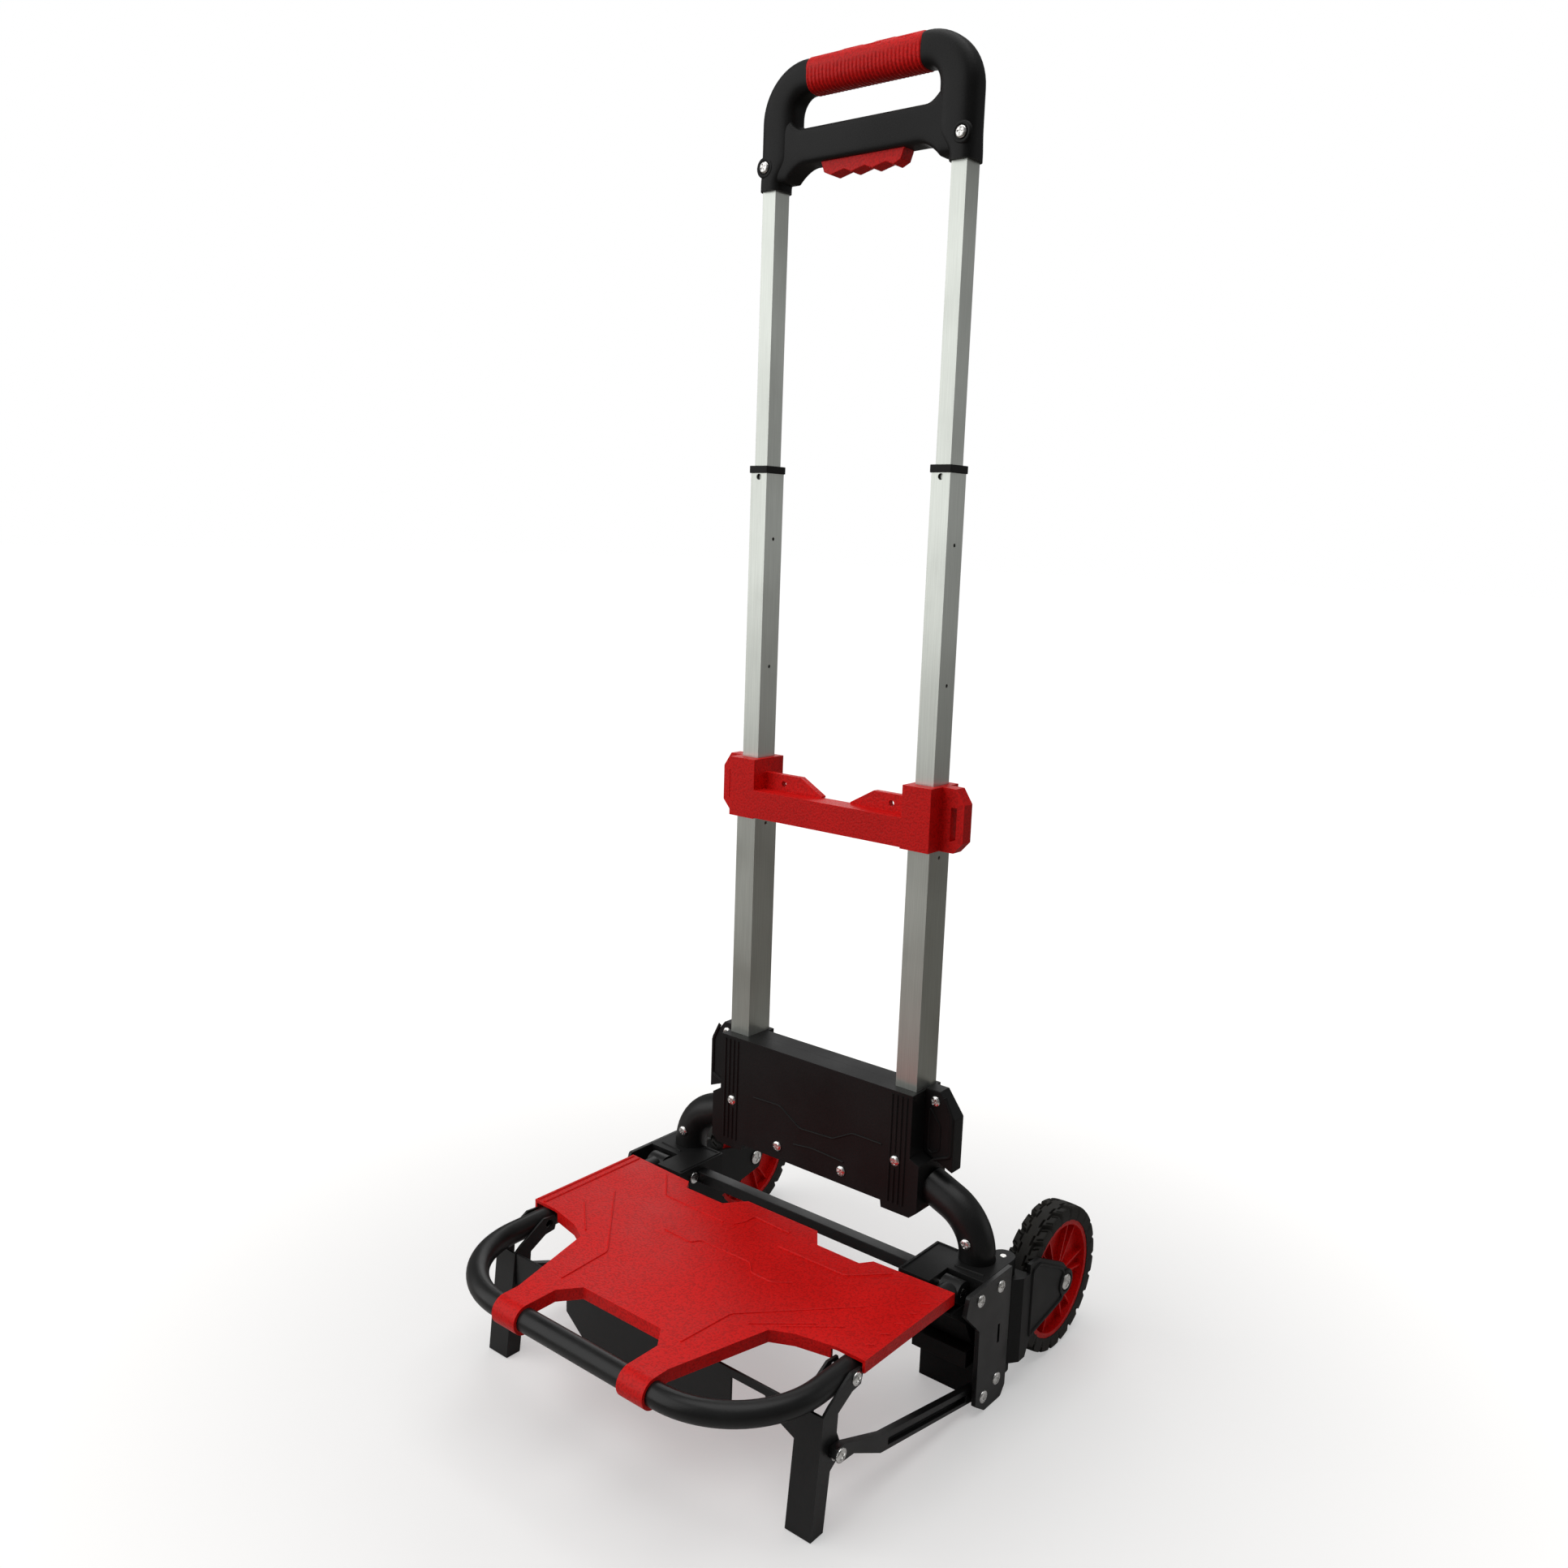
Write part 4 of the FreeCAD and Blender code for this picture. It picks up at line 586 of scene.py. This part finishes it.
class TRUCK_OT_guard_lines(bpy.types.Operator):
    """Ridges on the side guards, the wheel brackets and the blocks"""

    bl_idname = "truck.guard_lines"
    bl_label = "Guard and bracket ridges"

    def execute(self, context):
        self.guards()
        self.brackets()
        self.blocks()
        return {"FINISHED"}

    def guards(self):
        """A border along each guard's outer edge, and a framed panel inside it."""
        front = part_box("side_guard_right")[0][1] / MM
        border = [(122, 240.5), (129.3, 225.5), (129.3, 191.5), (115, 185)]
        panel = [(108, 226), (109, 228), (119, 215), (119, 194), (112, 190), (108, 192), (108, 226)]
        for hand, side in SIDES:
            lines = [ridge(path, 1, front, width, height, side, 2.0)
                     for path, width, height in ((border, 3.4, 1.4), (panel, 1.8, 0.9))]
            piece("guard_ridges_" + hand, lines, "chassis", "black_plastic")

    def brackets(self):
        """A raised border round each fork plate's panel, and a boss round its axle bolt."""
        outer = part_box("wheel_bracket_right")[1][0] / MM
        axle = np.array(JOINTS["right_wheel_spin"]["pos_m"]) / MM
        border = [(109, 99), (118.5, 101), (156, 81.5), (163, 76.5), (163.5, 68), (160, 60.5), (163, 52),
                  (155, 49.5), (113, 42.5), (107.5, 40), (107.5, 97), (109, 99)]
        boss = [(7.8, -0.4), (7.8, 0.9), (8.6, 1.5), (10.2, 1.5), (11.2, 0.9), (11.4, -0.4)]
        for hand, side in SIDES:
            ridges = [ridge(border, 0, outer, 2.6, 1.3, side),
                      turned_profile(boss, (side * outer, axle[1], axle[2]), (side, 0, 0), 72)]
            piece("bracket_ridges_" + hand, ridges, hand + "_bracket", "black_plastic")

    def blocks(self):
        """A raised bead ahead of each arch tube's foot, and a rim along the block's edge."""
        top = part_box("hinge_block_right")[1][2] / MM
        for hand, side in SIDES:
            beads = [ridge(path, 2, top, 1.8, 0.9, side, 0) for path in (
                [(151, 50.5), (176.5, 52.5)], [(121.5, 19.5), (121.5, 72), (140, 72)])]
            piece("block_beads_" + hand, beads, "chassis", "black_plastic")


# ---------------------------------------------------------------- handle

def superellipse(half_across, half_along, power, turn):
    """Rounded outline: cosine and sine, each raised to two over power, times the half widths."""
    cosine, sine = np.cos(turn), np.sin(turn)
    return np.stack([half_across * np.sign(cosine) * np.abs(cosine) ** (2 / power),
                     half_along * np.sign(sine) * np.abs(sine) ** (2 / power)], -1)


def round_turn(count):
    """Angles evenly spaced round a full turn."""
    return np.linspace(0, FULL_TURN, count, endpoint=False)


def eased(value):
    """Goes from 0 to 1 with level ends."""
    value = np.clip(value, 0, 1)
    return value * value * (3 - 2 * value)


# How square each rounded section is: 2 is an ellipse, and more is nearer a rectangle
LOOP_POWER, BAR_POWER, GRIP_POWER = 2.9, 6.5, 2.7


class TRUCK_OT_handle(bpy.types.Operator):
    """Handle moulding with rounded uprights, a flat lower bar and a ribbed grip"""

    bl_idname = "truck.handle"
    bl_label = "Handle"

    def execute(self, context):
        settings = context.scene.truck_handle
        low, high = [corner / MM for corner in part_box("handle_front")]
        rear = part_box("handle_rear")[1][1] / MM
        self.middle, self.deep = (low[1] + rear) / 2, (rear - low[1]) / 2
        self.low, self.high, self.half = low[2], high[2], high[0]
        self.corner, self.thick = settings.corner / MM, settings.bar / MM
        self.opening = settings.opening / MM
        self.grip_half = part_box("handle_grip")[1][0] / MM
        shells = [self.loop(), self.lower_bar()] + [self.boss(side) for side in (-1, 1)]
        body = piece("handle_moulding", shells, "upper_stage", "black_plastic", 50)
        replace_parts(body, "handle_front", "handle_rear")
        sleeve = [self.grip(settings)] + self.grip_lines()
        grip = piece("grip_cover", sleeve, "upper_stage", "red_plastic", 60)
        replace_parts(grip, "handle_grip")
        return {"FINISHED"}

    def loop(self):
        """Rounded section carried up one side, round both corners and down the other. Its outer side follows
        the handle's outline; its inner side eases from the tube's socket to the opening. It sinks a little
        under the grip."""
        socket, blend, sink = 79.5, 20.0, 0.8
        knee, pivot = self.high - self.corner, self.half - self.corner
        rise = np.linspace(self.low, knee, 26)
        turn = np.linspace(0, math.pi / 2, 16)[1:]
        run = np.linspace(pivot, 0, 6)[1:]
        neck = socket + (self.opening - socket) * eased((rise - self.low - 4) / blend)
        inner = self.opening - pivot
        inner = inner + (self.corner - self.thick - inner) * eased(turn / turn[-1])
        mean = (self.corner + inner) / 2
        top = np.full(len(run), self.thick / 2)
        across = np.concatenate([(self.half + neck) / 2, pivot + mean * np.cos(turn), run])
        level = np.concatenate([rise, knee + mean * np.sin(turn), self.high - top])
        lean = np.concatenate([np.zeros(len(rise)), turn, np.full(len(run), math.pi / 2)])
        covered = eased((self.grip_half + 2.5 - across) / 3.0) * sink
        halves = np.concatenate([(self.half - neck) / 2, (self.corner - inner) / 2, top]) - covered
        section = superellipse(1.0, 1.0, LOOP_POWER, round_turn(48))
        out = np.stack([np.cos(lean), np.zeros(len(lean)), np.sin(lean)], -1)
        middle = np.stack([across, np.full(len(across), self.middle), level], -1)
        rings = (middle[:, None] + out[:, None] * halves[:, None, None] * section[None, :, :1]
                 + np.array([0.0, 1.0, 0.0]) * (self.deep - covered)[:, None, None] * section[None, :, 1:])
        left = rings[::-1][1:] * [-1, 1, 1]
        return shell(capped(np.concatenate([rings, left])))

    def lower_bar(self):
        """Flat bar between the uprights. Its edges flare by a square law where it joins them."""
        reach, bottom, top, inset = 86, self.low + 16, self.low + 43, 1.4
        across = np.linspace(-reach, reach, reach + 1)[:, None]
        lower = bottom - 11 * np.clip((np.abs(across) - 52) / 20, 0, 1) ** 2
        upper = top + 7 * np.clip((np.abs(across) - 58) / 12, 0, 1) ** 2
        section = superellipse(1.0, 1.0, BAR_POWER, round_turn(48))[None]
        level = (lower + upper) / 2 + (upper - lower) / 2 * section[..., 0]
        deep = self.middle + (self.deep - inset) * section[..., 1]
        return shell(capped(np.stack(np.broadcast_arrays(across, deep, level), -1)))

    def boss(self, side):
        """Low ring round each screw."""
        place = (side * (self.half - 7.7), self.middle - self.deep + 0.6, self.low + 17.5)
        ring = [(5.2, -1.0), (5.2, 0.5), (5.8, 1.0), (7.2, 1.0), (8.2, 0.2), (8.4, -1.0)]
        return turned_profile(ring, place, (0, -1, 0), 48)

    def grip(self, settings):
        """Rounded sleeve over the top bar. Its lower half drops by the rib depth in a cosine wave along its
        length, and its ends roll in over a quarter circle."""
        low, high = [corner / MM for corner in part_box("handle_grip")]
        middle, half = (low + high) / 2, (high - low) / 2
        across = np.linspace(low[0], high[0], 433)[:, None]
        section = superellipse(half[1], half[2], GRIP_POWER, round_turn(72))
        height = section[:, 1] / section[:, 1].max()
        wave = 0.5 + 0.5 * np.cos(across * FULL_TURN / (settings.rib_pitch / MM))
        ribs = eased((0.25 - height) / 0.12)[None, :] * wave * settings.rib / MM
        end = np.clip((np.abs(across) - high[0] + 2.5) / 2.5, 0, 1)
        shrink = 1 - (ribs + 1.6 * (1 - np.sqrt(1 - 0.999 * end ** 2))) / half[2]
        deep, level = middle[1] + section[:, 0] * shrink, middle[2] + section[:, 1] * shrink
        return shell(capped(np.stack(np.broadcast_arrays(across, deep, level), -1)))

    def grip_lines(self):
        """Two faint chevrons on the sleeve, each drawn by place along it and degrees round it."""
        low, high = [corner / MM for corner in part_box("handle_grip")]
        middle, half = (low + high) / 2, (high - low) / 2
        path = cornered([(0, 136), (7, 118), (22, 118), (28, 136), (42, 136)], 2.0)
        section = middle[1:] + superellipse(half[1], half[2], GRIP_POWER, np.radians(path[:, 1]))
        places = [np.column_stack([path[:, 0] + shift, section]) for shift in (-26, 4)]
        return [carried(line, line_profile(1.0, 0.35), (0, -0.60, 0.80)) for line in places]


# ---------------------------------------------------------------- frame finishes

class TRUCK_OT_frame_finishes(bpy.types.Operator):
    """Gives each fixed part its finish, and rounds its edges"""

    bl_idname = "truck.frame_finishes"
    bl_label = "Frame finishes"

    def execute(self, context):
        edge = context.scene.truck_finish.edge
        make_finishes(context.scene.truck_finish)
        for part in frame["record"]["subparts"]:
            thing = frame["nodes"][part["node"]]
            thing.data.materials.clear()
            thing.data.materials.append(FINISHES[part["material_slot"]])
            self.round_edges(thing, edge * (0.6 if part["material_slot"] == "aluminium" else 1.0))
        return {"FINISHED"}

    def round_edges(self, thing, width):
        """Joins the part's faces for show only, and rounds the edges between them."""
        if "custom_normal" in thing.data.attributes:
            thing.data.attributes.remove(thing.data.attributes["custom_normal"])
        thing.data.shade_smooth()
        weld = thing.modifiers.new("Joined", "WELD")
        weld.merge_threshold = 1e-6
        flat = thing.modifiers.new("Flat faces", "DECIMATE")
        flat.decimate_type = "DISSOLVE"
        flat.angle_limit = math.radians(0.5)
        edges = thing.modifiers.new("Rounded edges", "BEVEL")
        edges.width = width
        edges.segments = 2
        edges.limit_method = "ANGLE"
        edges.angle_limit = math.radians(32)
        edges.use_clamp_overlap = True
        normals = thing.modifiers.new("Flat shading", "WEIGHTED_NORMAL")
        normals.weight = 90


# ---------------------------------------------------------------- stage

# Each light's name, place and size in metres, and power in watts, and the point that all are aimed at
LIGHTS = (("key", (-1.9, -2.3, 1.5), 4.0, 74.0), ("top", (0.1, 0.0, 3.0), 2.6, 40.0),
          ("rim", (-1.6, 2.4, 1.6), 2.0, 14.0), ("fill", (2.3, 2.2, 0.5), 2.4, 7.0))
AIM = Vector((0, 0, 0.4))

# The camera's azimuth, elevation and roll in degrees, its place in metres and its lens in millimetres
VIEW_ANGLES = (38.757, 10.215, 1.982)
VIEW_PLACE = (0.6659, -0.8312, 0.6819)
VIEW_LENS = 31.32


class TRUCK_OT_stage(bpy.types.Operator):
    """Pale floor, soft studio lights and the camera"""

    bl_idname = "truck.stage"
    bl_label = "Stage"

    def execute(self, context):
        scene = context.scene
        self.floor()
        self.lights(scene)
        self.camera(scene)
        scene.view_settings.view_transform = "Standard"
        return {"FINISHED"}

    def floor(self):
        """A square of paper that a camera sees fade to plain white away from the truck, while it sends only
        its own dim light back to the truck."""
        reach, drop = 30.0, 0.0005
        mesh = bpy.data.meshes.new("floor")
        corners = [(x * reach, y * reach, -drop) for x, y in ((-1, -1), (1, -1), (1, 1), (-1, 1))]
        mesh.from_pydata(corners, [], [(0, 1, 2, 3)])
        floor = bpy.data.objects.new("floor", mesh)
        bpy.context.scene.collection.objects.link(floor)
        near, far = (0.93, 0.93, 0.93), (0.16, 0.145, 0.125)
        paper = Finish("floor", near, Roughness=0.9, Specular_IOR_Level=0.1)
        away = paper.add("VectorMath", {0: paper.place}, operation="LENGTH").outputs["Value"]
        lit = paper.ramp(away, 0.15, 0.9, 0.35, 1.0)
        paper.shader.inputs["Emission Color"].default_value = (1.0, 1.0, 1.0, 1)
        seen = paper.add("LightPath").outputs["Is Camera Ray"]
        glow = paper.add("Math", {0: lit, 1: seen}, operation="MULTIPLY")
        paper.set("Emission Strength", glow.outputs["Value"])
        paper.set("Base Color", paper.mix(lit, near, far))
        mesh.materials.append(paper.material)

    def lights(self, scene):
        """A world that a camera sees as white but that lights dimly, and area lights aimed at the truck."""
        world = bpy.data.worlds.new("studio")
        world.use_nodes = True
        sky = world.node_tree.nodes["Background"]
        sky.inputs["Color"].default_value = (1.0, 1.0, 1.0, 1)
        rays = world.node_tree.nodes.new("ShaderNodeLightPath")
        seen = world.node_tree.nodes.new("ShaderNodeMapRange")
        seen.inputs["To Min"].default_value = 0.15
        seen.inputs["To Max"].default_value = 1.0
        world.node_tree.links.new(rays.outputs["Is Camera Ray"], seen.inputs["Value"])
        world.node_tree.links.new(seen.outputs["Result"], sky.inputs["Strength"])
        scene.world = world
        for name, place, size, power in LIGHTS:
            light = bpy.data.lights.new(name, "AREA")
            light.size = size
            light.energy = power
            lamp = bpy.data.objects.new(name, light)
            lamp.location = place
            lamp.rotation_mode = "QUATERNION"
            lamp.rotation_quaternion = (lamp.location - AIM).to_track_quat("Z", "Y")
            scene.collection.objects.link(lamp)

    def camera(self, scene):
        """A camera that looks back along the view's azimuth and elevation, tilted a little by roll."""
        azimuth, elevation, roll = (math.radians(angle) for angle in VIEW_ANGLES)
        flat = math.cos(elevation)
        back = Vector((math.sin(azimuth) * flat, -math.cos(azimuth) * flat, math.sin(elevation)))
        right = Vector((math.cos(azimuth), math.sin(azimuth), 0))
        up = back.cross(right)
        tilted = right * math.cos(roll) + up * math.sin(roll)
        upright = up * math.cos(roll) - right * math.sin(roll)
        data = bpy.data.cameras.new("camera")
        data.sensor_width = 36.0
        data.lens = VIEW_LENS
        data.clip_start = 0.05
        data.clip_end = 100.0
        camera = bpy.data.objects.new("camera", data)
        camera.matrix_world = Matrix((tilted, upright, back)).transposed().to_4x4()
        camera.location = VIEW_PLACE
        scene.collection.objects.link(camera)
        scene.camera = camera


# ---------------------------------------------------------------- panel

OPERATORS = [TRUCK_OT_frame_finishes, TRUCK_OT_screws, TRUCK_OT_tyres, TRUCK_OT_handle, TRUCK_OT_deck_lines,
             TRUCK_OT_housing_lines, TRUCK_OT_guard_lines, TRUCK_OT_stage]
SETTINGS = {"truck_finish": FinishSettings, "truck_tyres": TyreSettings, "truck_handle": HandleSettings,
            "truck_lines": LineSettings, "truck_screws": ScrewSettings}


class TRUCK_PT_panel(bpy.types.Panel):
    """The truck's sizes, colours and pieces"""

    bl_idname = "TRUCK_PT_panel"
    bl_label = "Hand Truck"
    bl_space_type = "VIEW_3D"
    bl_region_type = "UI"
    bl_category = "Hand Truck"

    def draw(self, context):
        for name, group in SETTINGS.items():
            box = self.layout.box()
            for key in group.__annotations__:
                box.prop(getattr(context.scene, name), key)
        for operator in OPERATORS:
            self.layout.operator(operator.bl_idname)


def register():
    for kind in (*SETTINGS.values(), *OPERATORS, TRUCK_PT_panel):
        bpy.utils.register_class(kind)
    for name, group in SETTINGS.items():
        setattr(bpy.types.Scene, name, bpy.props.PointerProperty(type=group))


def unregister():
    for name in SETTINGS:
        delattr(bpy.types.Scene, name)
    for kind in reversed((*SETTINGS.values(), *OPERATORS, TRUCK_PT_panel)):
        bpy.utils.unregister_class(kind)


def main():
    """Builds every piece in order."""
    register()
    for operator in OPERATORS:
        family, name = operator.bl_idname.split(".")
        getattr(getattr(bpy.ops, family), name)()


if __name__ == "__main__":
    main()
